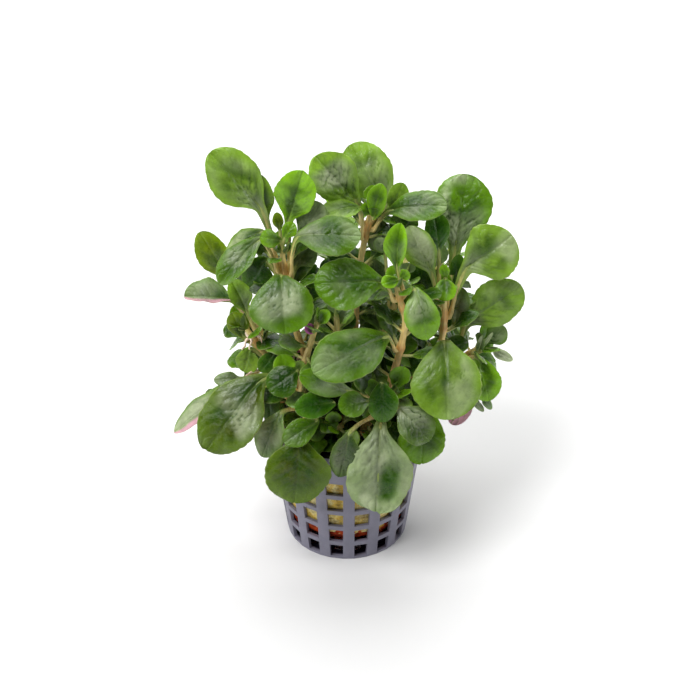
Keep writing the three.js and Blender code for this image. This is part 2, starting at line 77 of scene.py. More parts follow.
# Stalk radius of the small leaves, as a share of a grown leaf's.
YOUNG_STALK = 0.75
BUD_STALK = 0.6
FILLING_STALK = 0.8

# A blade wider than GROWN_WIDTH has all its veins and one half painted darker, as painted shade.
# One as wide as FULL_WIDTH has its full thickness and relief.
GROWN_WIDTH = 12 * MM
FULL_WIDTH = 16 * MM
# Sizes of the patterns on a blade, in waves per millimetre.
PATCH_SCALE = 0.16
LUMP_SCALE = 0.17
FINE_LUMP_SCALE = 0.4
PAINTED_SHEEN_SCALE = 0.12
MOTTLE_SCALE = 0.22
# Widths of the midrib and of the shade beside it, and of a side vein as a share of the gap.
MIDRIB_WIDTH = 0.45 * MM
BESIDE_WIDTH = 1.3 * MM
VEIN_WIDTH = 0.2

# Young leaves of a shoot's tip. YOUNG_TIPS gives the turn and length of the lowest one and the
# length of the leafy tip, in degrees and millimetres.
GOLDEN_TURN = 137.5
YOUNG_COUNT = 3
YOUNG_SPACING = 3.2 * MM
YOUNG_LOWEST = 1.5 * MM
YOUNG_HIGHEST = 0.3 * MM
OUTER_RISE = -8
INNER_RISE = 76
INNER_LENGTH = 0.42
YOUNG_WIDTH = 0.72
YOUNG_ARCH = 0.08
YOUNG_NECK = 0.25
YOUNG_TIPS = {
    "left": (100, 8.5, 4),
    "back": (10, 10, 4),
    "middle": (170, 8.5, 4),
    "right": (100, 9, 4),
    "low_right": (0, 13, 5),
    "low_left": (170, 10, 5),
    "front_left": (140, 12, 5),
    "front_right": (40, 12, 5),
    "inner_back": (330, 18, 24),
    "inner_top": (190, 16, 30),
    "inner_left": (150, 15, 18),
    "inner_right": (150, 16, 14),
    "inner_low": (30, 14, 6),
    "side_left": (310, 17, 18),
    "side_right": (90, 21, 20),
    "rear_left": (100, 20, 34),
    "rear_right": (60, 26, 32),
    "rear_middle": (80, 26, 38),
    "rear_low": (150, 25, 18),
}

# Youngest leaves of a shoot in the light: turn, rise and length as a share of the lowest one's.
BUD_LEAVES = [
    (math.radians(95), math.radians(58), 0.8),
    (math.radians(215), math.radians(50), 0.62),
    (math.radians(-30), math.radians(56), 0.66),
    (math.radians(150), math.radians(75), 0.45),
]
# Longest leafy tip, in millimetres, of a shoot that stands in the light, the height under which
# a bare stem carries shaded leaves on the viewer's side too, and the lengths of those leaves.
LEAFY_IN_LIGHT = 5
FILLED_ALL_ROUND = 57 * MM
FILLING_LENGTHS = (11 * MM, 15 * MM)

# Where the upper side of a small leaf looks: towards the viewer, more and more from above.
STEEP = (0, -0.85, 0.5)
LEANING = (0, -0.8, 0.6)
FLAT = (0, -0.7, 0.7)

# Small leaves fused to their stem: place along the stem, neck, tip, width, facing and tone.
TUCKED = {
    "left": [
        (0.9, (-15.1, 3, 117.7), (-8.2, 4, 129.7), 11, LEANING, "grey"),
        (0.76, (-16.9, 2, 106), (-11.3, 4, 114.4), 9, LEANING, "grey"),
        (0.74, (-25.7, 3, 107.6), (-33.1, 3, 98.2), 11, (-0.1, -0.75, 0.65), "deep"),
    ],
    "back": [
        (0.88, (10, 16, 114.8), (13, 15, 103.6), 10, (0.1, -0.85, 0.5), "grey"),
        (0.66, (8.4, 13, 101), (11.8, 12, 90), 10, STEEP, "grey"),
    ],
    "low_right": [
        (0.72, (46.4, 9, 70.7), (53.7, 10, 76.3), 7.5, STEEP, "mid"),
        (0.66, (47.6, 9, 68.2), (56.6, 9, 63.6), 3.6, FLAT, "bloom"),
    ],
    "low_left": [
        (0.66, (-33.8, -1, 80), (-37.8, -1, 90.2), 7.5, STEEP, "olive"),
        (0.56, (-31.4, -4, 77.3), (-34.6, -5, 68.9), 8, (-0.1, -0.85, 0.5), "light"),
    ],
}

# Small leaves that stand in the light round the tips or close the bush behind the stems, in the
# same terms as the tucked ones. Here and among the tucked ones, a deep tone on a leaf inside the
# bush is partly painted shade.
SET_IN = {
    "left": [
        (1, (-21, -3, 119.5), (-27.5, -7, 124), 6, (-0.1, -0.75, 0.65), "bright"),
        (1, (-20, -3, 120.5), (-17, -1, 125.5), 5, LEANING, "bright"),
        (1, (-21.3, -1, 122), (-22.5, 1, 128), 3.6, (0.2, -0.8, 0.5), "olive"),
        (0.72, (-16.6, 5, 102), (-14.5, 6, 111.6), 7, (0.1, -0.85, 0.5), "grey"),
        (1, (-25.6, 3, 123), (-29.2, 5, 140), 8, (0.1, -0.8, 0.6), "light"),
        (0.85, (-25.6, 3, 111), (-29.6, 3, 114.8), 4.5, LEANING, "deep"),
    ],
    "back": [
        (1, (8.6, 11, 119.5), (11.4, 11, 132.5), 6.8, (-0.25, -0.85, 0.45), "bright"),
        (1, (8.2, 12, 121), (4.5, 11, 124), 4.4, LEANING, "bright"),
        (1, (14.5, 17, 118), (18.4, 19, 128), 7, (0.1, -0.85, 0.5), "light"),
    ],
    "middle": [
        (1, (16.6, -8, 108), (11.2, -11, 108.5), 4.8, (0, -0.6, 0.8), "bright"),
        (1, (17.2, -8, 108.5), (19.8, -9, 112), 4, (0.2, -0.7, 0.7), "bright"),
    ],
    "right": [
        (1, (32.2, 2, 101.5), (32.2, -4, 97), 7.6, (0, -0.75, 0.65), "bright"),
        (1, (32.5, 3, 101), (31.5, 4, 106), 3.4, STEEP, "bright"),
        (0.72, (30, 9, 79), (27.8, 10, 87.5), 7, STEEP, "deep"),
        (0.74, (35.8, 6, 80.5), (38.6, 8, 94), 7.5, (-0.3, -0.85, 0.5), "grey"),
        (0.95, (36, 9, 93), (37, 10, 106), 5.5, STEEP, "deep"),
        (0.85, (27.5, 8, 92.6), (29.8, 9, 100.6), 5.5, STEEP, "deep"),
    ],
    "low_right": [
        (0.9, (43.6, 6, 69), (45.3, 5, 76.8), 1.4, LEANING, "bloom"),
        (0.9, (44.8, 6, 69.8), (49, 6, 77.2), 1.4, LEANING, "bloom"),
        (0.35, (42.5, 8, 48.4), (47.4, 8, 42.2), 2.4, FLAT, "grey"),
        (0.35, (46, 9, 48.5), (50.2, 9, 42.4), 3, FLAT, "pale"),
    ],
    "inner_top": [
        (0.7, (12.6, 9, 107.2), (9.9, 10, 112.4), 5, STEEP, "grey"),
        (1, (21.4, 14, 113.6), (19, 15, 120.8), 6, STEEP, "deep"),
        (0.98, (19.2, 14, 110), (18.8, 16, 119.5), 9.5, STEEP, "mid"),
        (0.9, (25.5, 8, 92.5), (23.2, 10, 103), 8, STEEP, "deep"),
    ],
    "inner_back": [
        (0.98, (-6.9, 6, 97), (-16, 8, 101.5), 8, LEANING, "deep"),
        (0.75, (-2.9, 2, 81), (1.1, 4, 88), 8, STEEP, "deep"),
        (1, (-8.2, 10, 99.4), (-1.6, 11, 104.7), 5.5, STEEP, "deep"),
        (0.85, (-13.4, 4, 91.5), (-9.8, 5, 97.4), 6, STEEP, "deep"),
    ],
    "inner_left": [
        (0.97, (-10, -12, 90.5), (-13.5, -13.5, 93.5), 3.6, (0.1, -0.85, 0.5), "magenta"),
        (0.8, (-7.3, 3, 77.8), (-3.6, 4, 84.8), 6, STEEP, "deep"),
    ],
    "low_left": [
        (0.62, (-34.5, -5, 66.5), (-44.5, -5, 65.4), 5, FLAT, "grey"),
        (0.6, (-23.5, -5, 77), (-28.8, -7, 70.5), 6, LEANING, "deep"),
        (0.4, (-26.2, -8, 70), (-25.6, -12, 53.5), 7.5, STEEP, "deep"),
    ],
}

# Thin roots and bare stalks that hang from a stem: place along the stem, end and tint.
ROOTLETS = {
    "low_left": [
        (0.97, (-31.8, -6, 79), "rootlet"),
        (0.9, (-34.7, -5, 78), "rootlet"),
        (0.86, (-25.7, -6, 78.7), "rootlet"),
        (0.93, (-28, -5, 81.3), "rootlet"),
        (0.55, (-26.5, -7, 71.2), "rootlet"),
        (0.6, (-33.5, -8, 70.3), "rootlet"),
    ],
    "left": [
        (0.42, (-20.5, -8, 72), "wine"),
        (0.46, (-18.7, -9, 75.6), "wine"),
        (0.4, (-16.4, -9, 74), "rootlet"),
    ],
}

# How far a thin root sags and wanders, and the tint that its pale parts go towards.
ROOTLET_SLACK = 1.2 * MM
ROOTLET_PALE = (1, 0.9, 0.75)

# Looks of the grown leaves: tone and how light it is, underside, waviness of the edge, height of
# the quilting, share of painted sheen. How light a leaf is stands partly for its own colour and
# partly for the light or shade on it, as painted light and shade.
LEAF_LOOKS = {
    "left_1": ("light", 1.22, "pale", 0.8, 1.2, 0.5),
    "left_2": ("bright", 1.4, "pale", 0.8, 0.8, 0.1),
    "left_3": ("mid", 0.78, "pale", 1.0, 1.4, 0.6),
    "left_4": ("light", 0.7, "pale", 1.0, 1.0, 0.5),
    "left_5": ("mid", 0.86, "pale", 0.6, 0.9, 0.7),
    "left_6": ("mid", 0.62, "pale", 0.8, 0.8, 0.4),
    "back_1": ("light", 1.28, "pale", 0.7, 0.6, 0.3),
    "back_2": ("light", 1.42, "pale", 1.2, 1.8, 0.7),
    "back_3": ("light", 1.15, "pale", 1.0, 1.0, 0.3),
    "back_4": ("mid", 0.68, "pale", 1.0, 1.2, 0.4),
    "middle_1": ("mid", 0.9, "pale", 1.3, 1.4, 0.4),
    "middle_2": ("bright", 1.2, "pale", 0.8, 0.8, 0.2),
    "middle_3": ("bright", 0.9, "pale", 0.8, 0.8, 0.5),
    "middle_4": ("mid", 0.68, "pale", 0.7, 0.9, 0.3),
    "right_1": ("deep", 1.7, "pale", 1.0, 1.0, 0.0),
    "right_2": ("mid", 1.3, "pale", 1.2, 2.0, 0.7),
    "right_3": ("light", 1.18, "pale", 0.8, 0.9, 0.5),
    "right_4": ("light", 0.85, "pale", 0.8, 0.6, 0.4),
    "right_5": ("light", 1.1, "pale", 1.4, 1.3, 0.8),
    "low_right_1": ("light", 1.15, "pale", 0.8, 0.8, 0.35),
    "low_right_2": ("bright", 1.05, "pale", 0.8, 0.6, 0.0),
    "low_right_3": ("deep", 1.5, "blush", 1.0, 0.8, 0.0),
    "low_left_1": ("olive", 1.35, "pale", 0.8, 0.8, 0.1),
    "low_left_2": ("grey", 1.3, "blush", 1.0, 0.8, 0.5),
    "low_left_3": ("light", 1.6, "pale", 0.8, 0.8, 0.2),
    "front_left_1": ("olive", 0.42, "blush", 1.8, 1.4, 0.5),
    "front_left_2": ("grey", 1.3, "blush", 1.2, 1.0, 0.7),
    "front_left_3": ("deep", 0.72, "pale", 0.8, 0.6, 0.0),
    "front_left_4": ("grey", 1.7, "blush", 1.0, 1.0, 0.5),
    "front_left_5": ("mid", 0.74, "pale", 0.8, 0.8, 0.2),
    "front_left_6": ("olive", 0.42, "pale", 0.9, 1.1, 0.0),
    "front_left_7": ("deep", 1.4, "pale", 0.8, 0.7, 0.0),
    "front_right_1": ("grey", 0.24, "pale", 0.8, 1.4, 0.15),
    "front_right_2": ("mid", 0.7, "pale", 2.6, 1.9, 1.3),
    "front_right_3": ("bright", 0.7, "pale", 0.7, 0.5, 0.0),
    "front_right_4": ("grey", 0.55, "pale", 1.0, 1.6, 0.9),
    "front_right_5": ("mid", 0.9, "pale", 0.9, 1.0, 0.1),
    "front_right_6": ("deep", 1.2, "pale", 0.8, 0.8, 0.0),
    "front_right_7": ("mid", 0.95, "pale", 1.0, 0.8, 0.4),
}
# Leaves whose side nearest to the viewer is flushed with pink, and the one with a deep pleat
# beside its midrib, painted shade in the pleat and painted sheen all over the rest. PLEAT_SIDE is
# the pleat's place across it.
FLUSHED = ("low_left_2", "front_left_2")
PLEATED = ("front_right_2",)
PLEAT_SIDE = -0.34

# Lumps of the plug's surface: waves per metre and height. Lengths of its fibres and roots.
PLUG_LUMPS = ((900, 0.3 * MM), (260, 0.35 * MM))
FIBRE_LENGTHS = (3 * MM, 8 * MM)
ROOT_LENGTHS = (5 * MM, 11 * MM)

# Soft lamps: place, size and power. SUN_FROM is the direction that the sun shines from.
LAMPS = {
    "sheen_light": ((-0.05, 0.55, 0.85), 1.1, 13),
    "left_light": ((-0.7, -0.1, 0.35), 0.35, 1.2),
    "right_light": ((0.7, 0.0, 0.35), 0.35, 1.8),
}
SUN_FROM = (-0.5, -0.45, 1)
SENSOR_WIDTH = 36


# Sizes and colours that a user would change

def colour(name, description, default):
    return FloatVectorProperty(
        name=name, description=description, default=default,
        subtype="COLOR", size=3, min=0, max=1,
    )


def length(name, description, default):
    return FloatProperty(
        name=name, description=description, default=default, unit="LENGTH", min=0, precision=5,
    )


class LeafSettings(bpy.types.PropertyGroup):
    thickness: length("Thickness", "Blade thickness at the midrib", 0.42 * MM)
    vein_depth: length("Vein depth", "Depth of the grooves over the veins", 0.16 * MM)
    quilting: length("Quilting", "Height of the swellings between the side veins", 0.2 * MM)
    lumps: length("Lumps", "Height of the uneven swellings all over the blade", 0.34 * MM)
    pleat: length("Pleat", "Depth of the pleat beside the midrib of a pleated leaf", 1.3 * MM)
    edge_wave: length("Edge wave", "How far the edge waves up and down", 0.45 * MM)
    tooth_depth: FloatProperty(
        name="Tooth depth", description="Depth of the shallow teeth, as a share of half the width",
        default=0.03, min=0, max=0.2,
    )
    vein_count: IntProperty(
        name="Side veins", description="Side veins along each half of a grown blade", default=6,
    )
    # Painted shade: one half of a grown blade is painted darker.
    shaded_half: FloatProperty(
        name="Dark half", description="How much darker one half of a grown blade is",
        default=0.3, min=0, max=1,
    )
    stalk_radius: length("Stalk radius", "Radius of a grown leaf's stalk", 0.62 * MM)
    bright: colour("Bright", "Green of the youngest leaves", (0.17, 0.37, 0.008))
    light: colour("Light", "Green of the upper leaves", (0.165, 0.29, 0.026))
    mid: colour("Mid", "Green of most leaves", (0.075, 0.18, 0.004))
    # Deep green, also used as the painted shade in creases, beside the midrib, in the pleat and on
    # leaves inside the bush.
    deep: colour("Deep", "Green of shaded leaves", (0.012, 0.058, 0.001))
    olive: colour("Olive", "Green of the oldest leaves", (0.125, 0.185, 0.004))
    # Grey: partly the leaves' own dull green, partly painted sheen that greys them.
    grey: colour("Grey", "Dull green of old leaves near the water", (0.08, 0.13, 0.036))
    # Painted sheen: whitish grey that stands for the soft lights' reflection on the leaves; a few
    # pale narrow leaves take it as their tone.
    bloom: colour("Bloom", "Whitish grey bloom in soft patches", (0.5, 0.56, 0.35))
    pale: colour("Pale underside", "Underside of most leaves", (0.19, 0.29, 0.12))
    blush: colour("Blush underside", "Pink underside of old leaves", (0.68, 0.34, 0.44))
    magenta: colour("Magenta", "Underside of a curled young leaf", (0.72, 0.05, 0.55))
    vein: colour("Vein", "Midrib and side veins", (0.27, 0.36, 0.08))


class StemSettings(bpy.types.PropertyGroup):
    foot: colour("Foot", "Tan of the stem's foot", (0.92, 0.62, 0.24))
    top: colour("Top", "Yellow green of the stem's top", (0.8, 0.7, 0.27))
    joint: colour("Joint", "Rust of the joints that carry leaves", (0.72, 0.34, 0.09))
    rootlet: colour("Rootlet", "Pale thin roots at the joints", (0.9, 0.66, 0.5))
    wine: colour("Wine", "Dark red bare stalks", (0.22, 0.014, 0.045))
    foot_radius: length("Foot radius", "Radius of a stem at its foot", 1.55 * MM)
    top_radius: length("Top radius", "Radius of a stem at its top", 0.85 * MM)
    rootlet_radius: length("Rootlet radius", "Radius of a thin root where it starts", 0.6 * MM)
    swelling: FloatProperty(
        name="Swelling", description="Swelling of a joint, as a share of the radius",
        default=0.32, min=0, max=1,
    )
    fluting: FloatProperty(
        name="Fluting", description="Height of the stem's ribs, as a share of the radius",
        default=0.09, min=0, max=0.5,
    )


class PotSettings(bpy.types.PropertyGroup):
    plastic: colour("Plastic", "Lilac grey moulded plastic", (0.2, 0.195, 0.255))
    # Painted shade: near black on the inside of the pot's foot, below the plug.
    foot_shade: colour("Shadow", "Dark film on the inside of the foot", (0.004, 0.003, 0.012))
    rounding: length("Rounding", "Radius of the moulded edges", 0.28 * MM)


class WoolSettings(bpy.types.PropertyGroup):
    yellow: colour("Yellow", "Fresh rock wool", (0.9, 0.64, 0.13))
    stain: colour("Stain", "Brown stains", (0.2, 0.085, 0.018))
    cream: colour("Cream", "Palest tufts", (0.98, 0.86, 0.4))
    rust: colour("Rust", "Rust red lower edge", (0.78, 0.1, 0.02))
    soaked: colour("Soaked", "Dark red patches in the rust", (0.16, 0.012, 0.008))
    # Painted shade: the roots under the plug are painted near black, as the shade of the hollow
    # there.
    roots: colour("Roots", "Dark fine roots on the pot's floor", (0.006, 0.004, 0.014))
    # Painted shade: dark green that darkens the plug's top under the leaves.
    top_shade: colour("Shade", "Dark green film on the shaded top", (0.012, 0.016, 0.005))
    fibre_count: IntProperty(name="Fibres", description="Loose fibres on the plug", default=1500)
    root_count: IntProperty(name="Roots", description="Fine roots on the pot's floor", default=700)
    fibre_radius: length("Fibre radius", "Radius of a loose fibre", 0.07 * MM)
    rust_height: length("Rust height", "Mean height of the rust red edge", 4.2 * MM)


class StageSettings(bpy.types.PropertyGroup):
    elevation: FloatProperty(
        name="Elevation", description="Camera height over the horizon",
        default=math.radians(36.06), subtype="ANGLE",
    )
    distance: length("Distance", "Camera to the point that it aims at", 0.7)
    aim: FloatVectorProperty(
        name="Aim", description="Point at the middle of the picture",
        default=(0.00107, 0, 0.07435), subtype="XYZ",
    )
    lens: FloatProperty(name="Lens", description="Focal length", default=107.74, unit="CAMERA")
    floor: colour("Floor", "Pale floor", (0.78, 0.78, 0.78))
    floor_radius: length("Floor radius", "Radius of the round floor", 6)
    room_light: FloatProperty(name="Room light", description="Even light all round", default=0.05)
    sun_strength: FloatProperty(name="Key light", description="Strength of the sun", default=2.45)
    sun_angle: FloatProperty(
        name="Key light's spread", description="Angle that the sun is seen at",
        default=math.radians(30), subtype="ANGLE",
    )


# Curves and small helpers

def mix(a, b, share):
    return a + (b - a) * share


def step_up(low, high, value):
    """0 below low, 1 above high, smooth between them. It falls where low is above high."""
    share = min(1, max(0, (value - low) / (high - low)))
    return share * share * (3 - 2 * share)


def blend_colour(a, b, share):
    return tuple(mix(x, y, share) for x, y in zip(a, b))


def smooth_between(places, values, at):
    """Value at a place on the smooth curve through values that stand at rising places."""
    last = len(places) - 1
    i = max(k for k in range(last) if places[k] <= at or k == 0)
    span = places[i + 1] - places[i]
    share = (at - places[i]) / span

    def slope(k):
        low, high = max(0, k - 1), min(last, k + 1)
        return (values[high] - values[low]) / (places[high] - places[low])

    square, cube = share * share, share ** 3
    return (
        values[i] * (2 * cube - 3 * square + 1)
        + slope(i) * (span * (cube - 2 * square + share))
        + values[i + 1] * (3 * square - 2 * cube)
        + slope(i + 1) * (span * (cube - square))
    )


def side_and_front(axis):
    """The side and front directions of something that runs along an axis."""
    side = Vector((0, 1, 0)).cross(axis).normalized()
    return side, axis.cross(side)


def nearest_on_path(path, point):
    """Nearest point of a path of straight steps."""
    best = None
    for a, b in zip(path, path[1:]):
        along = b - a
        share = min(1, max(0, (point - a).dot(along) / along.length_squared))
        found = a + along * share
        if best is None or (found - point).length < (best - point).length:
            best = found
    return best


def point_along(path, share):
    """The point at a share of a path of straight steps."""
    steps = [(b - a).length for a, b in zip(path, path[1:])]
    left = share * sum(steps)
    for a, b, step in zip(path, path[1:], steps):
        if left <= step:
            return a.lerp(b, left / step)
        left -= step
    return path[-1]


# Reading the solids

def merged_copy(node):
    """A solid's surface with its loose triangles joined."""
    mesh = bmesh.new()
    mesh.from_mesh(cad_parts[node].data)
    bmesh.ops.remove_doubles(mesh, verts=mesh.verts, dist=0.001 * MM)
    mesh.verts.index_update()
    return mesh


def in_order(corners):
    """Corners in their mesh's order, so that a sum over them is the same in each run."""
    return sorted(corners, key=lambda corner: corner.index)


def loft_rings(first, size):
    """Rings of corners along a loft, from its first ring for as long as they are whole."""
    rings = [in_order(first)]
    seen = set(first)
    while True:
        found = {edge.other_vert(corner) for corner in rings[-1] for edge in corner.link_edges}
        found -= seen
        if len(found) != size:
            return rings
        rings.append(in_order(found))
        seen |= found


def middle_of(points):
    return sum(points, Vector()) / len(points)


def leaf_sections(node):
    """Middle, upward direction, half width and edge lift of each ring of a leaf's solid."""
    mesh = merged_copy(node)
    area = sum(face.calc_area() for face in mesh.faces)
    heart = sum((f.calc_center_median() * f.calc_area() for f in mesh.faces), Vector()) / area
    start = max(mesh.verts, key=lambda v: (v.co - heart).length)
    first = sorted(mesh.verts, key=lambda v: (v.co - start.co).length)[:LEAF_RING]
    rings = [[v.co.copy() for v in ring] for ring in loft_rings(first, LEAF_RING)]
    if len(rings) != len(STALK_PLACES) + len(BLADE_STEPS):
        raise RuntimeError(f"{node} has {len(rings)} rings")
    mesh.free()
    pairs = []
    for ring in rings:
        spans = [(a, b) for k, a in enumerate(ring) for b in ring[k + 1:]]
        edges = max(spans, key=lambda span: (span[0] - span[1]).length)
        pairs.append((edges, [corner for corner in ring if corner not in edges]))
    spreads = [(edges[0] - edges[1]).length for edges, _ in pairs]
    if spreads.index(max(spreads)) <= len(STALK_PLACES):
        pairs.reverse()
    middles = [middle_of(e if i < len(STALK_PLACES) else f) for i, (e, f) in enumerate(pairs)]
    sections = []
    last_side = None
    for i, ((left, right), (top, under)) in enumerate(pairs):
        along = middles[min(i + 1, len(rings) - 1)] - middles[max(i - 1, 0)]
        if last_side is None:
            if (top - middles[0]).length > (under - middles[0]).length:
                top, under = under, top
            last_side = along.cross(top - under)
        if (right - left).dot(last_side) < 0:
            left, right = right, left
        last_side = right - left
        up = (top - under).normalized()
        if up.dot(last_side.cross(along)) < 0:
            up.negate()
        lift = ((left + right) / 2 - middles[i]).dot(up)
        sections.append((middles[i], up, (left - right).length / 2, lift))
    return sections


def ring_ahead(ring, middle, heading, step):
    """The corners and middle of a stem's ring one step ahead, past the feet of small leaves."""
    straight, level = 0.85, 0.4  # least share of an edge that runs along, most of one across
    shortest, longest = 0.85 * step, 1.15 * step
    found = set()
    runs = []
    for start in ring:
        corner, gone = start, 0
        while gone < shortest:
            ahead = max(
                (edge.other_vert(corner) for edge in corner.link_edges),
                key=lambda other: (other.co - corner.co).normalized().dot(heading),
            )
            run = ahead.co - corner.co
            if run.normalized().dot(heading) < straight:
                break
            gone += run.length
            corner = ahead
        if shortest < gone < longest:
            found.add(corner)
            runs.append(corner.co - start.co)
    if len(found) < 2:
        return [], middle
    reach = 1.4 * (ring[0].co - middle).length
    for _ in range(STEM_RING):
        for corner in in_order(found):
            for edge in corner.link_edges:
                run = edge.other_vert(corner).co - corner.co
                if abs(run.normalized().dot(heading)) < level and run.length < reach:
                    found.add(edge.other_vert(corner))
    found = in_order(found)
    if len(found) == STEM_RING:
        return found, middle_of([corner.co for corner in found])
    return found, middle + middle_of(runs)


def stem_spine(node):
    """Middles of the rings of a stem's solid, from its foot to the start of its leafy tip."""
    mesh = merged_copy(node)
    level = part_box("rock_wool_plug")[1].z + CLEARANCE
    low = {v for v in mesh.verts if abs(v.co.z - level) < 0.01 * MM}
    first = [v for v in low if any(edge.other_vert(v) in low for edge in v.link_edges)]
    if len(first) != STEM_RING:
        raise RuntimeError(f"{node} has no foot ring")
    rings = loft_rings(first, STEM_RING)
    middles = [middle_of([v.co for v in ring]) for ring in rings]
    ring = rings[-1] if node.removeprefix("stem_") in TUCKED else []
    while ring:
        run = middles[-1] - middles[-2]
        ring, middle = ring_ahead(ring, middles[-1], run.normalized(), run.length)
        if ring:
            middles.append(middle)
    mesh.free()
    return middles


# Building blocks

def new_part():
    """An empty mesh whose corners can be painted."""
    part = bmesh.new()
    return part, part.verts.layers.float_color.new("paint")


def to_data(part, name):
    """Mesh data made of a part, which is then freed."""
    data = bpy.data.meshes.new(name)
    part.to_mesh(data)
    part.free()
    return data


def new_object(name, data):
    thing = bpy.data.objects.new(name, data)
    bpy.context.scene.collection.objects.link(thing)
    return thing


def rolled_tube(length_steps, sides, place, paint):
    """A closed tube. place and paint take the share along it and a unit offset across it."""
    tube, layer = new_part()
    bmesh.ops.create_cone(tube, cap_ends=True, segments=sides, radius1=1, radius2=1, depth=2)
    lengthwise = [e for e in tube.edges if abs(e.verts[0].co.z - e.verts[1].co.z) > 1]
    bmesh.ops.subdivide_edges(tube, edges=lengthwise, cuts=length_steps - 1)
    for corner in tube.verts:
        share = (corner.co.z + 1) / 2
        offset = (corner.co.x, corner.co.y)
        corner[layer] = (*paint(share, offset), 1)
        corner.co = place(share, offset)
    bmesh.ops.recalc_face_normals(tube, faces=tube.faces)
    for face in tube.faces:
        face.material_index = 2
    return tube


def finished_piece(name, parts, materials, node):
    """Makes one object of its parts, riding on the body, in place of its solid."""
    whole, _ = new_part()
    for part in parts:
        data = to_data(part, name)
        whole.from_mesh(data)
        bpy.data.meshes.remove(data)
    for face in whole.faces:
        face.smooth = True
    piece = new_object(name, to_data(whole, name))
    for material in materials:
        piece.data.materials.append(material)
    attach(piece, BODY)
    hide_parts(node)
    return piece


# Leaves

class Leaf:
    """One leaf's run from its stem to its tip. Places along it go from 0, through the neck at
    a third, to 1 at the tip."""

    def __init__(self, places, middles, up_places, ups, wide, fold, look, seed):
        self.places, self.middles = places, middles
        self.up_places, self.ups = up_places, ups
        self.wide, self.fold, self.seed = wide, fold, seed
        self.tone, self.light, self.under, self.wave, self.quilt, self.bloom = look
        self.start, self.wing, self.flushed, self.pleated = -0.1, 0, False, False

    def frame_at(self, place):
        """Middle, side, up and along directions at a place."""
        middle = smooth_between(self.places, self.middles, place)
        ahead = smooth_between(self.places, self.middles, place + 0.01)
        behind = smooth_between(self.places, self.middles, place - 0.01)
        along = (ahead - behind).normalized()
        up = smooth_between(self.up_places, self.ups, max(place, self.up_places[0]))
        side = along.cross(up).normalized()
        return middle, side, side.cross(along), along

    def body_width(self, u):
        """Half the solid blade's width at a share of the blade."""
        bulge = math.sin(math.pi * max(0, u) ** (math.log(0.5) / math.log(WIDEST)))
        roundness = mix(0.95, 0.5, step_up(0.05, 0.7, u))
        return self.wide / 2 * max(0, bulge) ** roundness

    def half_width(self, u):
        """Half the blade's width, with narrow wings that run down the stalk from its base."""
        wing = self.wing * step_up(self.start - 0.1, 0.15, u) * step_up(0.7, 0.3, u)
        return max(0.2 * MM, (self.body_width(u) ** 2 + wing ** 2) ** 0.5)


def vein_gap(u, s, count):
    """Distance from the nearest side vein, from 0 on it to 1 halfway to the next, and how far
    the vein shows there."""
    start = u - 0.3 * abs(s) - 0.12 * abs(s) ** 3
    phase = start * count + (0.4 if s > 0 else 0)
    shown = step_up(-0.06, 0.05, start) * step_up(0.97, 0.75, start) * step_up(0.98, 0.6, abs(s))
    return 2 * abs(phase - round(phase)), shown


class Spot:
    """One place of a blade: u along it, s across it from -1 to 1, x the distance from the
    midrib, and how far each pattern shows there."""

    def __init__(self, leaf, s, u, x, y, veins):
        self.s, self.u, self.x, self.edge = s, u, x, abs(s)
        self.right = 1 if s > 0 else 0
        self.gap, self.shown = vein_gap(u, s, veins)
        self.here = here = Vector((x / MM, y / MM, leaf.seed * 3.7))
        self.patch = self.pattern(PATCH_SCALE)
        self.lump = noise.noise(here * LUMP_SCALE) + 0.3 * noise.noise(here * FINE_LUMP_SCALE)
        slanted = (here.y - 0.5 * abs(here.x)) * 0.5
        self.net = abs(noise.noise(Vector((here.x * 0.42, slanted, leaf.seed))))
        self.inner = step_up(1, 0.5, self.edge) * step_up(-0.1, 0.1, u) * step_up(1.0, 0.4, u)
        on_line = math.exp(-(self.gap / VEIN_WIDTH) ** 2)
        self.on_vein = on_line * self.shown * step_up(0.15, 0.6, self.patch)
        self.crease = step_up(0.1, 0.0, self.net) * self.inner * step_up(0.3, 0.7, self.patch)
        self.on_midrib = math.exp(-(x / (MIDRIB_WIDTH * mix(1, 0.4, max(0, u)))) ** 2)
        self.beside_midrib = math.exp(-(x / BESIDE_WIDTH) ** 2) - self.on_midrib
        self.mottle = self.pattern(MOTTLE_SCALE, (9, 4, 2))
        self.dip = 0
        if leaf.pleated:
            valley = math.exp(-((s - PLEAT_SIDE) / 0.32) ** 4)
            self.dip = valley * step_up(0.25, 0.55, u) * step_up(0.92, 0.8, u)

    def pattern(self, scale, shift=(0, 0, 0)):
        """A soft cloudy pattern from 0 to 1."""
        return 0.5 + 0.5 * noise.noise(self.here * scale + Vector(shift))


def blade_outline(leaf, s, u, v, lean, sway, tooth_depth):
    """Half the width of a blade's uneven, shallowly toothed half."""
    right = s > 0
    half = leaf.half_width(u) * (1 + lean * (1 if right else -1))
    half *= 1 + 0.035 * math.sin(2 * math.pi * (1.4 * u + sway) + (2.5 if right else 0))
    tooth = abs(math.sin(math.pi * (v * 12 + (0.3 if right else 0)))) - 0.6
    return half * (1 + tooth_depth * tooth * abs(s) ** 8 * step_up(0.1, 0.4, u))


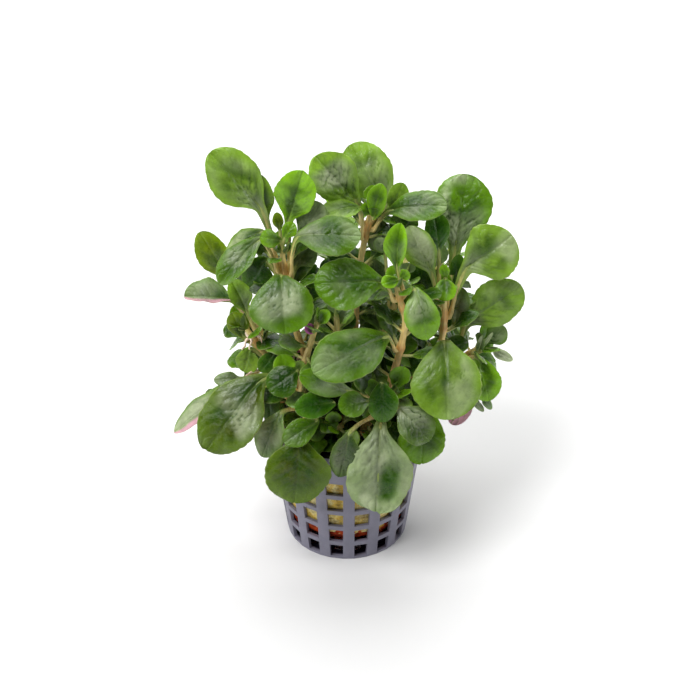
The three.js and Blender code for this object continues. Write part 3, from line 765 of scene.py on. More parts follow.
def blade_height(leaf, spot, half, cup, scale, settings):
    """Height of a blade's upper side over the leaf's middle line."""
    u, edge, patch = spot.u, spot.edge, spot.patch
    pillow = math.sin(math.pi / 2 * min(1, spot.gap * 1.15)) * spot.shown
    wave = math.sin(2 * math.pi * (1.5 * u + 0.17 * leaf.seed) + 2.2 * spot.right)
    wave += 0.5 * math.sin(2 * math.pi * (3.3 * u + 0.31 * leaf.seed) + 1.1 * spot.right)
    quilt = settings.quilting * leaf.quilt * scale
    puckered = min(1, spot.net / 0.22) * mix(0.2, 1, spot.inner) * mix(0.4, 1, patch)
    grooves = spot.on_vein * 0.7 + spot.crease + spot.on_midrib * 1.8
    return (
        abs(spot.x) * leaf.fold
        - cup * half * edge * edge
        + quilt * pillow * step_up(0, 0.2, edge) * mix(0.3, 1, patch)
        + quilt * leaf.quilt * puckered
        + settings.lumps * leaf.quilt * scale * spot.lump * step_up(-0.2, 0.1, u)
        - settings.vein_depth * scale * grooves
        - settings.pleat * spot.dip
        + settings.edge_wave * leaf.wave * scale * wave * edge ** 2.5 * step_up(0.02, 0.3, u)
    )


def upper_paint(leaf, spot, darker, viewer_side, tones, settings):
    """Colour of a blade's upper side, with its painted shade and painted sheen. darker is the half
    with more painted shade, as 1 or -1.
    """
    u, edge = spot.u, spot.edge
    tone, shade, fresh = tones
    dark_side = step_up(-0.04, 0.04, spot.s * darker)
    outer = min(1, step_up(0.35, 1, edge) + step_up(0.6, 1, u))
    shaded = 0.8 * step_up(0.38, 0.68, spot.mottle)
    if leaf.wide > GROWN_WIDTH:
        shaded += settings.shaded_half * dark_side
    # Mask of the painted sheen: less on the shaded half, none in the creases; a pleated leaf has
    # it all over but its valley.
    painted_light = step_up(0.36, 0.7, spot.pattern(PAINTED_SHEEN_SCALE, (4, 8, 3)))
    painted_light *= step_up(1.02, 0.6, edge) * (1 - spot.crease) * (0.7 if spot.s * darker > 0 else 1.1)
    if leaf.pleated:
        painted_light = max(0.9 * painted_light, mix(0.12, 0.6, spot.patch)) * (1 - spot.dip)
    near = -viewer_side * spot.s + 0.1 * spot.lump
    layers = [
        # Painted shade: darker patches, deepest on the shaded half of a grown blade.
        (shade, min(0.9, shaded) * mix(1, 0.35, outer)),
        (fresh, 0.7 * outer),
        # Painted shade in the creases, along the side veins, beside the midrib and in the pleat's
        # valley.
        (settings.deep, 0.5 * max(spot.crease, 0.8 * spot.on_vein * spot.inner)),
        (settings.deep, 0.55 * spot.beside_midrib * spot.inner),
        (settings.deep, 0.65 * spot.dip),
        # Painted sheen: soft whitish patches that stand for the soft lights' reflection.
        (settings.bloom, min(0.85, 0.85 * leaf.bloom * painted_light)),
        (settings.vein, spot.on_midrib * mix(0.3, 0.0, min(1, max(0, u) * 2))),
        (settings.blush, 0.85 * step_up(0.25, 0.6, near) if leaf.flushed else 0),
        (settings.vein, 0.6 * step_up(0.95, 0.995, edge)),
        (settings.vein, 0.7 * step_up(0.14, -0.1, u)),
    ]
    paint = tone
    for tint, share in layers:
        paint = blend_colour(paint, tint, share)
    return paint


def make_blade(leaf, rows, columns, settings):
    """A leaf's blade: a flat grid laid along the leaf, given relief, then thickness."""
    mesh, layer = new_part()
    grid = bmesh.ops.create_grid(mesh, x_segments=columns, y_segments=rows, size=1)["verts"]
    neck = smooth_between(leaf.places, leaf.middles, BLADE_START)
    blade_length = (leaf.middles[-1] - neck).length
    draw = random.Random(leaf.seed)
    cup = draw.uniform(0.04, 0.16)
    lean = draw.uniform(-0.05, 0.05)
    sway = draw.uniform(0, 1)
    # The half of the blade that gets painted shade.
    darker = 1 if draw.random() < 0.5 else -1
    veins = settings.vein_count if leaf.wide > GROWN_WIDTH else max(3, settings.vein_count - 2)
    scale = min(1, leaf.wide / FULL_WIDTH)
    # The light factor scales the tone: partly the leaf's own colour, partly painted light and
    # shade.
    tone = tuple(leaf.light * part for part in getattr(settings, leaf.tone))
    under = tuple(max(1, leaf.light) * part for part in getattr(settings, leaf.under))
    shade = blend_colour(tone, settings.deep, 0.85)
    fresh = blend_colour(tuple(1.3 * part for part in tone), settings.bright, 0.3)
    frames = {}
    lowered = []
    for corner in grid:
        s, v = corner.co.x, (corner.co.y + 1) / 2
        key = round(v, 5)
        if key not in frames:
            u = mix(leaf.start, 0.998, 1 - (1 - v) ** 1.5)
            frames[key] = (u, *leaf.frame_at(BLADE_START + (1 - BLADE_START) * u))
        u, middle, side, up, _ = frames[key]
        half = blade_outline(leaf, s, u, v, lean, sway, settings.tooth_depth)
        spot = Spot(leaf, s, u, s * half, u * blade_length, veins)
        height = blade_height(leaf, spot, half, cup, scale, settings)
        paint = upper_paint(leaf, spot, darker, side.y, (tone, shade, fresh), settings)
        corner[layer] = (*paint, 1)
        corner.co = middle + side * spot.x + up * height
        veined = 0.3 * spot.on_vein + 0.6 * spot.on_midrib + 0.2 * spot.mottle
        below = blend_colour(under, settings.vein, veined)
        lowered.append((corner, up * (settings.thickness * scale * mix(1, 0.45, s ** 4)), below))
    sheet = list(mesh.faces)
    bmesh.ops.extrude_face_region(mesh, geom=sheet, use_keep_orig=True)
    for corner, drop, below in lowered:
        corner.co -= drop
        corner[layer] = (*below, 1)
    bmesh.ops.reverse_faces(mesh, faces=sheet)
    for face in sheet:
        face.material_index = 1
    return mesh


def make_stalk(leaf, radius, sides, steps, settings, tint):
    """A leaf's stalk, which runs on under the blade as its midrib."""
    first = leaf.places[0]
    last = 0.93
    depth = 0.45 * MM * min(1, leaf.wide / FULL_WIDTH)

    def place(share, offset):
        at = mix(first, last, share)
        middle, side, up, along = leaf.frame_at(at)
        in_blade = max(0, (at - BLADE_START) / (1 - BLADE_START))
        thick = radius * mix(1, 0.16, step_up(0, 1, in_blade))
        thick *= 1 + 0.5 * step_up(0.08, 0, at) + 0.12 * step_up(0.15, 0.3, at)
        sunk = mix(0.3 * thick, thick + depth, step_up(-0.1, 0.25, in_blade))
        groove = 0.25 * thick * max(0, offset[1]) ** 3
        return middle + side * (offset[0] * thick * 1.1) + up * (offset[1] * thick - sunk - groove)

    def paint(share, offset):
        at = mix(first, last, share)
        return blend_colour(tint, settings.vein, step_up(0.05, 0.42, at))

    return rolled_tube(steps, sides, place, paint)


def leaf_parts(leaf, steps, stalk_radius, tint, settings):
    """The blade and the stalk of a leaf."""
    along, over, sides, stalk_steps = steps
    return [
        make_blade(leaf, along, over, settings),
        make_stalk(leaf, stalk_radius, sides, stalk_steps, settings, tint),
    ]


def grown_leaf(node, label, stem):
    """The run of a grown leaf, read from its solid and led into its stem."""
    sections = leaf_sections(node)
    places = STALK_PLACES + [(1 + 2 * u) / 3 for u in BLADE_STEPS]
    middles = [section[0] for section in sections]
    ups = [section[1] for section in sections]
    leaf = Leaf(places, middles, places, ups, 1, 0, LEAF_LOOKS[label], 0)
    widths = [
        section[2] / leaf.body_width(u)
        for section, u in zip(sections[len(STALK_PLACES):], BLADE_STEPS) if 0.4 < u < 0.8
    ]
    leaf.wide = max(widths)
    fold_section = sections[len(STALK_PLACES) + 2]
    leaf.fold = fold_section[3] / fold_section[2]
    leaf.seed = 1 + sum(ord(letter) * (k + 3) for k, letter in enumerate(label)) % 97
    root = nearest_on_path(stem, middles[0])
    reach_back = (root - middles[0]).length / (middles[1] - middles[0]).length * places[1]
    leaf.places = [-reach_back] + places
    leaf.middles = [root] + middles
    leaf.start = -0.42
    leaf.wing = 0.12 * leaf.wide
    leaf.flushed, leaf.pleated = label in FLUSHED, label in PLEATED
    return leaf


def out_and_up(axis, turn, rise):
    """Outward, upper and lengthwise directions of a leaf that stands round an axis."""
    side, front = side_and_front(axis)
    out = side * math.cos(turn) + front * math.sin(turn)
    up = axis * math.cos(rise) - out * math.sin(rise)
    return out, up, out * math.cos(rise) + axis * math.sin(rise)


def small_leaf(middles, middle_place, up, wide, fold, look, seed, start=-0.3, wing=0.1):
    """A small leaf's run through its base, neck, middle and tip, with the same up all along."""
    places = [0, BLADE_START, middle_place, 1]
    leaf = Leaf(places, middles, [0, 1], [up, up], wide, fold, look, seed)
    leaf.start, leaf.wing = start, wing * wide
    return leaf


def young_leaves(path, axis, tip):
    """The runs of the young leaves around a shoot's straight tip."""
    turn, reach, leafy = tip
    leafy *= MM
    count = YOUNG_COUNT + round(leafy / YOUNG_SPACING)
    leaves = []
    for i in range(count):
        share = i / (count - 1)
        rise = math.radians(mix(OUTER_RISE, INNER_RISE, share ** 1.5))
        _, up, along = out_and_up(axis, math.radians(turn + i * GOLDEN_TURN), rise)
        long = reach * MM * mix(1, INNER_LENGTH, share)
        base = path[-1] - axis * mix(leafy - YOUNG_LOWEST, YOUNG_HIGHEST, share)
        run = along * long
        half_way = base + run * ((1 + YOUNG_NECK) / 2) + up * (long * YOUNG_ARCH)
        tone = "bright" if share > 0.65 else ("light" if share > 0.4 else "mid")
        leaves.append(small_leaf(
            [base, base + run * YOUNG_NECK, half_way, base + run], (1 + BLADE_START) / 2, up,
            long * YOUNG_WIDTH, 0.06, (tone, 1.0, "pale", 0.8, 0.9, 0.2),
            1 + (i * 17 + round(turn)) % 89,
        ))
    return leaves


def bud_leaves(path, axis, tip):
    """The runs of the youngest leaves, which stand around the top of a shoot in the light."""
    if tip[2] > LEAFY_IN_LIGHT:
        return []
    leaves = []
    for k, (turn, rise, share) in enumerate(BUD_LEAVES):
        _, up, along = out_and_up(axis, turn, rise)
        long = share * tip[1] * MM
        base = path[-1] - axis * (0.4 * k * MM)
        half_way = base + along * (0.6 * long) - up * (0.06 * long)
        leaves.append(small_leaf(
            [base, base + along * (0.2 * long), half_way, base + along * long], 0.7, up,
            long * 0.78, 0.16, ("bright", 1.0, "pale", 0.6, 0.8, 0), 3 + 7 * k, wing=0.12,
        ))
    return leaves


def placed_leaves(name, path):
    """The runs of the small leaves whose places are set one by one."""
    leaves = []
    rows = TUCKED.get(name, []) + SET_IN.get(name, [])
    for k, (at, neck, tip, wide, faces, tone) in enumerate(rows):
        base, neck, tip = point_along(path[1:], at), Vector(neck) * MM, Vector(tip) * MM
        up = Vector(faces).normalized()
        # Grey and mid leaves get some painted sheen.
        bloom = 0.4 if tone in ("grey", "mid") else 0
        half_way = (neck + tip) / 2 + up * (0.08 * (tip - neck).length)
        leaves.append(small_leaf(
            [base, neck, half_way, tip], (1 + BLADE_START) / 2, up, wide * MM, 0.08,
            (tone, 1.0, "pale", 0.8, 0.8, bloom), 5 + 13 * k, start=-0.35, wing=0.14,
        ))
    return leaves


def filling_leaves(path, tip, seed):
    """The runs of the shaded leaves along a shoot's bare stem, inside the bush."""
    draw = random.Random(seed)
    bare = path[1:-1]
    leaves = []
    turn = draw.uniform(0, 360)
    shares = (0.05, 0.3, 0.55, 0.8) if tip[2] <= LEAFY_IN_LIGHT else (0.1, 0.4, 0.7)
    for a, b in zip(bare, bare[1:]):
        axis = (b - a).normalized()
        for share in shares:
            turn += GOLDEN_TURN
            base = a.lerp(b, share)
            out, _, _ = out_and_up(axis, math.radians(turn), 0)
            low = base.z < FILLED_ALL_ROUND
            if out.y < -0.5 and not low:
                continue
            rise = math.radians(draw.uniform(0, 25) if low else draw.uniform(5, 45))
            long = draw.uniform(*FILLING_LENGTHS) * (1.2 if out.y > 0.2 else 1)
            _, up, along = out_and_up(axis, math.radians(turn), rise)
            run = along * long
            middles = [base, base + run * 0.3, base + run * 0.66 + up * (long * 0.07), base + run]
            # Painted shade: leaves inside the bush get mid or deep tones at a low light factor.
            look = (draw.choice(("mid", "deep", "deep")), 0.7, "pale", 1.0, 1.0, 0)
            wide = long * draw.uniform(0.55, 0.66)
            leaves.append(small_leaf(
                middles, 0.68, up, wide, 0.1, look, draw.randrange(97), start=-0.1,
            ))
    return leaves


# Stems

def stem_path(name):
    """Middles of a stem from inside the wool to its apex, and the direction of its tip."""
    rings = stem_spine(f"stem_{name}")
    axis = (rings[-1] - rings[-2]).normalized()
    foot = rings[0] - Vector((0, 0, 2 * MM))
    return [foot] + rings + [rings[-1] + axis * (YOUNG_TIPS[name][2] * MM)], axis


def make_stem(path, joints, settings, seed):
    """A ribbed stem along its path, swollen and rusty where it carries leaves."""
    lengths = [0]
    for a, b in zip(path, path[1:]):
        lengths.append(lengths[-1] + (b - a).length)
    whole = lengths[-1]
    places = [value / whole for value in lengths]
    looked_at = [k / 200 for k in range(201)]
    joint_places = [
        min(looked_at, key=lambda at: (smooth_between(places, path, at) - joint).length)
        for joint in joints
    ]
    frames = {}

    def near_joint(share):
        reach = 1.6 * MM / whole
        return max([math.exp(-((share - at) / reach) ** 2) for at in joint_places], default=0)

    def frame_at(share):
        key = round(share, 4)
        if key not in frames:
            middle = smooth_between(places, path, share)
            along = (
                smooth_between(places, path, min(1, share + 0.01))
                - smooth_between(places, path, max(0, share - 0.01))
            ).normalized()
            frames[key] = (middle, *side_and_front(along), near_joint(share))
        return frames[key]

    def place(share, offset):
        middle, side, front, swollen = frame_at(share)
        angle = math.atan2(offset[1], offset[0])
        radius = mix(settings.foot_radius, settings.top_radius, share)
        radius *= 1 + settings.swelling * swollen
        radius *= 1 + settings.fluting * math.cos(5 * angle + 3 * share)
        radius *= 1 + 0.06 * noise.noise(Vector((share * 14, seed, angle * 0.3)))
        radius *= step_up(1.012, 0.985, share) * 0.92 + 0.08
        return middle + (side * offset[0] + front * offset[1]) * radius

    def paint(share, offset):
        swollen = frame_at(share)[3]
        tint = blend_colour(settings.foot, settings.top, step_up(0.35, 1, share))
        streak = 0.5 + 0.5 * noise.noise(Vector((offset[0] * 2, offset[1] * 2, share * 6 + seed)))
        return blend_colour(tint, settings.joint, min(1, 0.6 * swollen + 0.3 * streak))

    steps = max(12, round(whole / (0.9 * MM)))
    return rolled_tube(steps, 15, place, paint)


def make_rootlet(base, tip, tint, radius, seed):
    """A thin root or bare stalk that hangs from a stem in a slack curve."""
    run = tip - base
    side, front = side_and_front(run.normalized())

    def noise_at(along, row):
        return noise.noise(Vector((along, seed, row)))

    def place(share, offset):
        wander = noise_at(share * 2.5, 0) - noise_at(0, 0)
        slack = (side * wander + front * math.sin(math.pi * share)) * ROOTLET_SLACK
        thick = radius * mix(1, 0.45, share) * (1 + 0.3 * noise_at(share * 9, 5))
        return base + run * share + slack + (side * offset[0] + front * offset[1]) * thick

    def paint(share, offset):
        return blend_colour(tint, ROOTLET_PALE, 0.25 + 0.4 * noise_at(share * 5, 2))

    return rolled_tube(14, 8, place, paint)


def shoot_parts(name, path, axis, joints, leaf_settings, stem_settings):
    """The parts of one shoot: its stem, its small leaves and its thin roots."""
    seed = 1 + sum(ord(letter) for letter in name) % 31
    tip = YOUNG_TIPS[name]
    parts = [make_stem(path, joints, stem_settings, seed)]
    for leaves, steps, stalk in (
        (young_leaves(path, axis, tip), YOUNG_STEPS, YOUNG_STALK),
        (bud_leaves(path, axis, tip), BUD_STEPS, BUD_STALK),
        (placed_leaves(name, path), PLACED_STEPS, YOUNG_STALK),
        (filling_leaves(path, tip, seed), FILLING_STEPS, FILLING_STALK),
    ):
        for leaf in leaves:
            radius = stalk * leaf_settings.stalk_radius
            parts += leaf_parts(leaf, steps, radius, stem_settings.top, leaf_settings)
    radius = stem_settings.rootlet_radius
    for k, (at, end, tint) in enumerate(ROOTLETS.get(name, [])):
        base, tint = point_along(path[1:], at), getattr(stem_settings, tint)
        parts.append(make_rootlet(base, Vector(end) * MM, tint, radius, 3 * k + 0.5))
    return parts


# Materials

class Nodes:
    """A new material and short ways to add and link its nodes."""

    def __init__(self, name):
        self.material = bpy.data.materials.new(name)
        self.material.use_nodes = True
        self.tree = self.material.node_tree
        self.place = self.add("ShaderNodeTexCoord").outputs["Object"]

    def add(self, kind, sockets=(), **values):
        """A new node. sockets pairs its inputs with outputs to link or with plain values."""
        node = self.tree.nodes.new(kind)
        for key, value in values.items():
            setattr(node, key, value)
        for key, value in sockets:
            self.put(value, node.inputs[key])
        return node

    def put(self, value, socket):
        """Links an output, or sets a plain number, vector or colour."""
        if isinstance(value, bpy.types.NodeSocket):
            self.tree.links.new(value, socket)
        elif socket.type != "RGBA":
            socket.default_value = value
        elif isinstance(value, (int, float)):
            socket.default_value = (value, value, value, 1)
        else:
            socket.default_value = (*value, 1)

    def paint(self):
        return self.add("ShaderNodeAttribute", attribute_name="paint").outputs["Color"]

    def axes(self):
        return self.add("ShaderNodeSeparateXYZ", [(0, self.place)]).outputs

    def noise(self, scale, detail=3, roughness=0.5, place=None, output="Fac"):
        sockets = [("Vector", place or self.place), ("Scale", scale), ("Detail", detail),
                   ("Roughness", roughness)]
        return self.add("ShaderNodeTexNoise", sockets).outputs[output]

    def ramp(self, source, *stops):
        node = self.add("ShaderNodeValToRGB", [("Fac", source)])
        for element, (at, value) in zip(node.color_ramp.elements, stops):
            element.position = at
            element.color = (value, value, value, 1)
        return node.outputs["Color"]

    def mixed(self, share, a, b, blend="MIX"):
        sockets = [("Factor", share), ("A", a), ("B", b)]
        node = self.add("ShaderNodeMix", sockets, data_type="RGBA", blend_type=blend)
        return node.outputs["Result"]

    def tinted(self, a, b):
        return self.mixed(1.0, a, b, "MULTIPLY")

    def math(self, operation, a, b=0.0):
        return self.add("ShaderNodeMath", [(0, a), (1, b)], operation=operation).outputs[0]

    def times(self, a, b):
        return self.math("MULTIPLY", a, b)

    def spread(self, value, low, high, to_low=0.0, to_high=1.0):
        sockets = [("Value", value), ("From Min", low), ("From Max", high), ("To Min", to_low),
                   ("To Max", to_high)]
        return self.add("ShaderNodeMapRange", sockets).outputs["Result"]

    def finish(self, base, rough, specular=0.5, bump=None):
        """Sets the shader. bump is heights, strength and distance."""
        shader = self.tree.nodes["Principled BSDF"]
        self.put(base, shader.inputs["Base Color"])
        self.put(rough, shader.inputs["Roughness"])
        self.put(specular, shader.inputs["Specular IOR Level"])
        if bump:
            sockets = zip(("Height", "Strength", "Distance"), bump)
            normal = self.add("ShaderNodeBump", sockets).outputs["Normal"]
            self.put(normal, shader.inputs["Normal"])
        return self.material


def leaf_skin(name, rough_low, rough_high, specular):
    """Leaf surface: painted green with a net of fine veins and small pits."""
    nodes = Nodes(name)
    paint = nodes.paint()
    wobble = nodes.noise(500, 2, output="Color")
    sockets = [(0, wobble), (1, (0.8 * MM,) * 3), (2, nodes.place)]
    warped = nodes.add("ShaderNodeVectorMath", sockets, operation="MULTIPLY_ADD").outputs["Vector"]
    sockets = [("Vector", warped), ("Scale", 900)]
    cells = nodes.add("ShaderNodeTexVoronoi", sockets, feature="DISTANCE_TO_EDGE")
    veinlet = nodes.spread(cells.outputs["Distance"], 0.0, 0.09, 1.0, 0.0)
    light = nodes.mixed(0.3, paint, (0.24, 0.36, 0.03))
    base = nodes.mixed(nodes.times(veinlet, 0.3), paint, light)
    base = nodes.tinted(base, nodes.ramp(nodes.noise(260, 4, 0.6), (0.3, 0.75), (0.7, 1.15)))
    rough = nodes.spread(nodes.noise(420), 0.3, 0.7, rough_low, rough_high)
    heights = nodes.math("ADD", nodes.times(veinlet, -0.6), nodes.noise(1500))
    return nodes.finish(base, rough, specular, (heights, 0.22, 0.3 * MM))


def stem_skin():
    """Stem surface: painted tan with fine lengthwise streaks."""
    nodes = Nodes("stem_skin")
    sockets = [("Vector", nodes.place), ("Scale", (1, 1, 0.18))]
    stretched = nodes.add("ShaderNodeMapping", sockets).outputs["Vector"]
    streaks = nodes.noise(1600, 2, place=stretched)
    base = nodes.tinted(nodes.paint(), nodes.ramp(streaks, (0.3, 0.72), (0.7, 1.18)))
    rough = nodes.spread(nodes.noise(700), 0.3, 0.7, 0.38, 0.55)
    return nodes.finish(base, rough, bump=(streaks, 0.3, 0.2 * MM))


def pot_plastic(settings, inner_foot, inner_rim, height, foot_shade_top):
    """Moulded plastic with a faint grain, and painted shade: the inside of the foot, below the
    plug, is painted near black.
    """
    nodes = Nodes("pot_plastic")
    x, y, z = nodes.axes()
    radius = nodes.math("SQRT", nodes.math("ADD", nodes.times(x, x), nodes.times(y, y)))
    wall = nodes.spread(z, 0, height, inner_foot, inner_rim)
    inside = nodes.spread(nodes.math("SUBTRACT", wall, radius), 0, 0.6 * MM)
    # Painted shade: the inside of the foot, below the plug, goes near black.
    low = nodes.spread(z, foot_shade_top - 2 * MM, foot_shade_top, 1, 0)
    painted_light = nodes.times(nodes.times(inside, low), nodes.spread(z, 0.1 * MM, 0.4 * MM))
    mottle = nodes.ramp(nodes.noise(160, 4, 0.6), (0.3, 0.88), (0.7, 1.1))
    base = nodes.mixed(painted_light, nodes.tinted(settings.plastic, mottle), settings.foot_shade)
    rough = nodes.spread(nodes.noise(900), 0.3, 0.7, 0.42, 0.55)
    return nodes.finish(base, rough, bump=(nodes.noise(2600, 2), 0.08, 0.2 * MM))


def wool_felt(settings, low, red_top, top):
    """Rock wool: yellow fibres with brown stains, rust red along the ragged lower edge, painted
    shade that darkens its top, and roots below it painted near black as painted shade."""
    nodes = Nodes("wool_felt")
    z = nodes.axes()[2]
    stain = nodes.ramp(nodes.noise(210, 5, 0.65), (0.5, 0.0), (0.66, 1.0))
    tuft = nodes.ramp(nodes.noise(330, 4, 0.6), (0.42, 0.0), (0.58, 1.0))
    fibre = nodes.ramp(nodes.noise(2400, 4, 0.7), (0.25, 0.6), (0.75, 1.25))
    raggedness = nodes.spread(nodes.noise(420, 2), 0.34, 0.66, -2.6 * MM, 2.6 * MM)
    ragged = nodes.math("ADD", z, raggedness)
    red = nodes.spread(ragged, red_top - 0.5 * MM, red_top + 0.3 * MM, 1, 0)
    base = nodes.mixed(tuft, settings.yellow, settings.cream)
    base = nodes.mixed(nodes.times(stain, 0.8), base, settings.stain)
    # Painted shade: the plug darkens towards its top, under the leaves.
    base = nodes.mixed(nodes.spread(z, top - 6 * MM, top - 2 * MM), base, settings.top_shade)
    soaked = nodes.mixed(nodes.times(tuft, 0.7), settings.rust, settings.soaked)
    base = nodes.tinted(nodes.mixed(red, base, soaked), fibre)
    # Painted shade: everything below the plug, the roots on the floor, is painted near black.
    below_plug_shade = nodes.spread(z, low - 0.6 * MM, low - 0.1 * MM, 1, 0)
    base = nodes.mixed(below_plug_shade, base, settings.roots)
    return nodes.finish(base, 0.95, 0.15, (nodes.noise(3200, 4, 0.7), 0.8, 0.6 * MM))


def pale_floor(tint):
    nodes = Nodes("pale_floor")
    return nodes.finish(nodes.mixed(nodes.noise(3), tint, tuple(0.98 * c for c in tint)), 0.8)


# Pot and wool

def smooth_pot(settings):
    """The pot's own surface with its moulded edges rounded."""
    mesh = merged_copy("net_pot")
    flat = math.radians(1)
    bmesh.ops.dissolve_limit(mesh, angle_limit=flat, verts=mesh.verts, edges=mesh.edges)
    sharp = [edge for edge in mesh.edges if edge.calc_face_angle(0) > math.radians(50)]
    bmesh.ops.bevel(
        mesh, geom=sharp, affect="EDGES", offset=settings.rounding, offset_type="OFFSET",
        segments=2, profile=0.5, material=-1, clamp_overlap=True,
    )
    return mesh


def make_plug(low, high, foot_radius, rim_radius, pot_height):
    """The plug: a ball pressed into the pot's taper, with a lumpy felted surface."""
    mesh, _ = new_part()
    bmesh.ops.create_uvsphere(mesh, u_segments=144, v_segments=72, radius=1)
    for corner in mesh.verts:
        across = math.hypot(corner.co.x, corner.co.y)
        most = max(across, abs(corner.co.z))
        level = corner.co.z / most
        round_off = 1 - 0.05 * step_up(0.75, 1, across / most) * step_up(0.8, 1, abs(level))
        z = mix(low, high, (level + 1) / 2)
        radius = mix(foot_radius, rim_radius, z / pot_height) * (across / most) * round_off
        turn = math.atan2(corner.co.y, corner.co.x)
        here = Vector((radius * math.cos(turn), radius * math.sin(turn), z))
        lump = sum(noise.noise(here * scale) * height for scale, height in PLUG_LUMPS)
        inward = here.normalized() if abs(level) < 0.999 else Vector((0, 0, level))
        corner.co = here - inward * (abs(lump) + 0.05 * MM)
    return mesh


def strand_template():
    """A straight strand of unit size along Z."""
    strand = bmesh.new()
    bmesh.ops.create_cone(strand, cap_ends=True, segments=3, radius1=1, radius2=0.6, depth=2)
    upright = [e for e in strand.edges if abs(e.verts[0].co.z - e.verts[1].co.z) > 1]
    bmesh.ops.subdivide_edges(strand, edges=upright, cuts=4)
    return to_data(strand, "strand")


def add_strand(mesh, template, long, bow, radius, place):
    """Adds a strand. place takes the run along it, the run across it and the height over it."""
    before = len(mesh.verts)
    mesh.from_mesh(template)
    mesh.verts.ensure_lookup_table()
    for corner in mesh.verts[before:]:
        along, height = corner.co.z * long / 2, corner.co.y * radius
        across = bow * (corner.co.z ** 2 - 0.5) * long / 2 + corner.co.x * radius
        corner.co = place(along, across, height)


def lying_strand(draw, spread, within, level):
    """Place of a strand that lies on a round level surface."""
    turn, heading = draw.uniform(-math.pi, math.pi), draw.uniform(-math.pi, math.pi)
    reach = spread * math.sqrt(draw.random())
    centre = Vector((reach * math.cos(turn), reach * math.sin(turn), 0))
    out = Vector((math.cos(heading), math.sin(heading), 0))
    aside = Vector((-out.y, out.x, 0))

    def place(along, across, height):
        spot = centre + out * along + aside * across
        spot *= within / max(within, spot.length)
        spot.z = level(spot.length) + height
        return spot

    return place


def make_fibres(low, high, foot_radius, rim_radius, pot_height, settings, draw):
    """Loose fibres that lie on the plug's side and top."""
    mesh, _ = new_part()
    template = strand_template()

    def top_level(reach):
        return high - (0.1 + 0.75 * (reach / rim_radius) ** 8) * MM

    def wall_strand():
        turn, slope = draw.uniform(-math.pi, math.pi), draw.gauss(0, 0.5)
        middle = draw.uniform(low + 1 * MM, high - 1.5 * MM)

        def place(along, across, height):
            rise = along * math.sin(slope) + across * math.cos(slope)
            run = along * math.cos(slope) - across * math.sin(slope)
            z = min(high - 0.5 * MM, max(low + 0.3 * MM, middle + rise))
            radius = mix(foot_radius, rim_radius, z / pot_height) - 0.12 * MM + height
            angle = turn + run / radius
            return Vector((radius * math.cos(angle), radius * math.sin(angle), z))

        return place

    for _ in range(settings.fibre_count):
        long, bow = draw.uniform(*FIBRE_LENGTHS), draw.uniform(-0.25, 0.25)
        if draw.random() < 0.3:
            place = lying_strand(draw, 0.9 * rim_radius, 0.96 * rim_radius, top_level)
        else:
            place = wall_strand()
        add_strand(mesh, template, long, bow, settings.fibre_radius, place)
    bpy.data.meshes.remove(template)
    return mesh


def make_roots(floor, foot_radius, settings, draw):
    """Fine roots that lie on the pot's floor. The felt paints them near black, as painted shade of
    the hollow under the plug.
    """
    mesh, _ = new_part()
    template = strand_template()
    for _ in range(settings.root_count):
        lift = draw.uniform(0.15, 1.2) * MM
        place = lying_strand(draw, foot_radius, 0.97 * foot_radius, lambda reach: floor + lift)
        long, bow = draw.uniform(*ROOT_LENGTHS), draw.uniform(-0.4, 0.4)
        add_strand(mesh, template, long, bow, 2 * settings.fibre_radius, place)
    bpy.data.meshes.remove(template)
    return mesh


def pot_corners():
    return [v.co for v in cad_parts["net_pot"].data.vertices]


def pot_inner_radii():
    """Inner radius of the pot's wall at its foot and at its rim."""
    low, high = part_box("net_pot")
    corners = pot_corners()
    foot = max(math.hypot(c.x, c.y) for c in corners if c.z < low.z + 0.1 * MM)
    top = sorted({round(math.hypot(c.x, c.y), 6) for c in corners if c.z > high.z - 0.1 * MM})
    wall = top[1] - top[0]
    return foot - wall, top[0]


# Operators

class MakePot(bpy.types.Operator):
    """Build the net pot with rounded moulded edges"""
    bl_idname = "potted_plant.make_pot"
    bl_label = "Net pot"

    def execute(self, context):
        settings = context.scene.plant_pot
        top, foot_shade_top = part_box("net_pot")[1].z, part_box("rock_wool_plug")[0].z + 0.5 * MM
        plastic = pot_plastic(settings, *pot_inner_radii(), top, foot_shade_top)
        piece = finished_piece(
            "moulded_net_pot", [smooth_pot(settings)], [plastic], "net_pot",
        )
        piece.data.set_sharp_from_angle(angle=math.radians(40))
        return {"FINISHED"}


class MakeWool(bpy.types.Operator):
    """Build the rock wool plug with its loose fibres"""
    bl_idname = "potted_plant.make_wool"
    bl_label = "Rock wool plug"

    def execute(self, context):
        settings = context.scene.plant_wool
        low, high = (corner.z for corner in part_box("rock_wool_plug"))
        inner_foot, inner_rim = pot_inner_radii()
        run = (low, high, inner_foot - CLEARANCE, inner_rim - CLEARANCE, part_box("net_pot")[1].z)
        draw = random.Random(SEED)
        floor = max(
            c.z for c in pot_corners() if c.z < low and math.hypot(c.x, c.y) < 0.7 * inner_foot
        )
        parts = [
            make_plug(*run),
            make_fibres(*run, settings, draw),
            make_roots(floor, inner_foot, settings, draw),
        ]
        felt = wool_felt(settings, low, low + settings.rust_height, high)
        finished_piece("felted_wool_plug", parts, [felt], "rock_wool_plug")
        return {"FINISHED"}


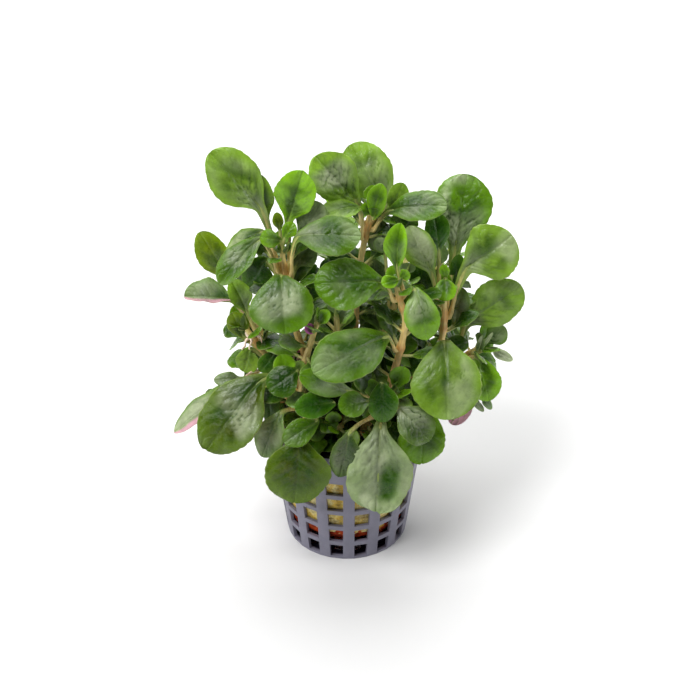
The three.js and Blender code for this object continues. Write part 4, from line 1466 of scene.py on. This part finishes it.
class MakeShoots(bpy.types.Operator):
    """Build the stems with their young leaves, and the grown leaves"""
    bl_idname = "potted_plant.make_shoots"
    bl_label = "Stems and leaves"

    def execute(self, context):
        leaf_settings, stem_settings = context.scene.plant_leaf, context.scene.plant_stem
        skins = [
            leaf_skin("leaf_upper", 0.23, 0.35, 0.32),
            leaf_skin("leaf_under", 0.5, 0.62, 0.28),
            stem_skin(),
        ]
        paths = {name: stem_path(name) for name in YOUNG_TIPS}
        roots = {name: [] for name in YOUNG_TIPS}
        tint = blend_colour(stem_settings.foot, stem_settings.top, 0.5)
        for node in [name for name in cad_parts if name.startswith("leaf_")]:
            label = node.removeprefix("leaf_")
            shoot = label.rsplit("_", 1)[0]
            leaf = grown_leaf(node, label, paths[shoot][0])
            roots[shoot].append(leaf.middles[0])
            parts = leaf_parts(leaf, GROWN_STEPS, leaf_settings.stalk_radius, tint, leaf_settings)
            finished_piece(f"grown_{node}", parts, skins, node)
        for name, (path, axis) in paths.items():
            parts = shoot_parts(name, path, axis, roots[name], leaf_settings, stem_settings)
            finished_piece(f"leafy_stem_{name}", parts, skins, f"stem_{name}")
        return {"FINISHED"}


class MakeStage(bpy.types.Operator):
    """Set the pale floor, the soft light and the camera"""
    bl_idname = "potted_plant.make_stage"
    bl_label = "Stage"

    def execute(self, context):
        settings, scene = context.scene.plant_stage, context.scene
        disc = bmesh.new()
        bmesh.ops.create_circle(disc, cap_ends=True, segments=96, radius=settings.floor_radius)
        floor = new_object("floor", to_data(disc, "floor"))
        floor.data.materials.append(pale_floor(settings.floor))
        scene.world = bpy.data.worlds.new("pale_room")
        scene.world.use_nodes = True
        room = scene.world.node_tree.nodes["Background"].inputs
        room["Color"].default_value = (1, 1, 1, 1)
        room["Strength"].default_value = settings.room_light
        scene.view_settings.view_transform = "Standard"
        aim = Vector(settings.aim)
        for name, (place, size, power) in LAMPS.items():
            light = bpy.data.lights.new(name, "AREA")
            light.size, light.energy = size, power
            lamp = new_object(name, light)
            lamp.location = place
            lamp.rotation_euler = (Vector(place) - aim).to_track_quat("Z", "Y").to_euler()
        sun = bpy.data.lights.new("key_light", "SUN")
        sun.energy, sun.angle = settings.sun_strength, settings.sun_angle
        lamp = new_object("key_light", sun)
        lamp.rotation_euler = Vector(SUN_FROM).to_track_quat("Z", "Y").to_euler()
        lens = bpy.data.cameras.new("camera")
        lens.lens, lens.sensor_width = settings.lens, SENSOR_WIDTH
        camera = new_object("camera", lens)
        back = Vector((0, -math.cos(settings.elevation), math.sin(settings.elevation)))
        camera.location = aim + back * settings.distance
        camera.rotation_euler = Euler((math.pi / 2 - settings.elevation, 0, 0))
        scene.camera = camera
        return {"FINISHED"}


class PlantPanel(bpy.types.Panel):
    """Sizes, colours and steps of the potted plant"""
    bl_idname = "VIEW3D_PT_potted_plant"
    bl_label = "Potted plant"
    bl_space_type = "VIEW_3D"
    bl_region_type = "UI"
    bl_category = "Potted plant"

    def draw(self, context):
        for name in SETTINGS:
            group = getattr(context.scene, name)
            box = self.layout.box()
            for key in group.bl_rna.properties.keys():
                if key not in ("rna_type", "name"):
                    box.prop(group, key)
        for operator in OPERATORS:
            self.layout.operator(operator.bl_idname)


SETTINGS = {
    "plant_pot": PotSettings,
    "plant_wool": WoolSettings,
    "plant_leaf": LeafSettings,
    "plant_stem": StemSettings,
    "plant_stage": StageSettings,
}
OPERATORS = [MakePot, MakeWool, MakeShoots, MakeStage]


def register():
    for group in (*SETTINGS.values(), *OPERATORS, PlantPanel):
        bpy.utils.register_class(group)
    for name, group in SETTINGS.items():
        setattr(bpy.types.Scene, name, PointerProperty(type=group))


def unregister():
    for name in SETTINGS:
        delattr(bpy.types.Scene, name)
    for group in (PlantPanel, *OPERATORS, *SETTINGS.values()):
        bpy.utils.unregister_class(group)


def main():
    register()
    bpy.ops.potted_plant.make_pot()
    bpy.ops.potted_plant.make_wool()
    bpy.ops.potted_plant.make_shoots()
    bpy.ops.potted_plant.make_stage()


if __name__ == "__main__":
    main()
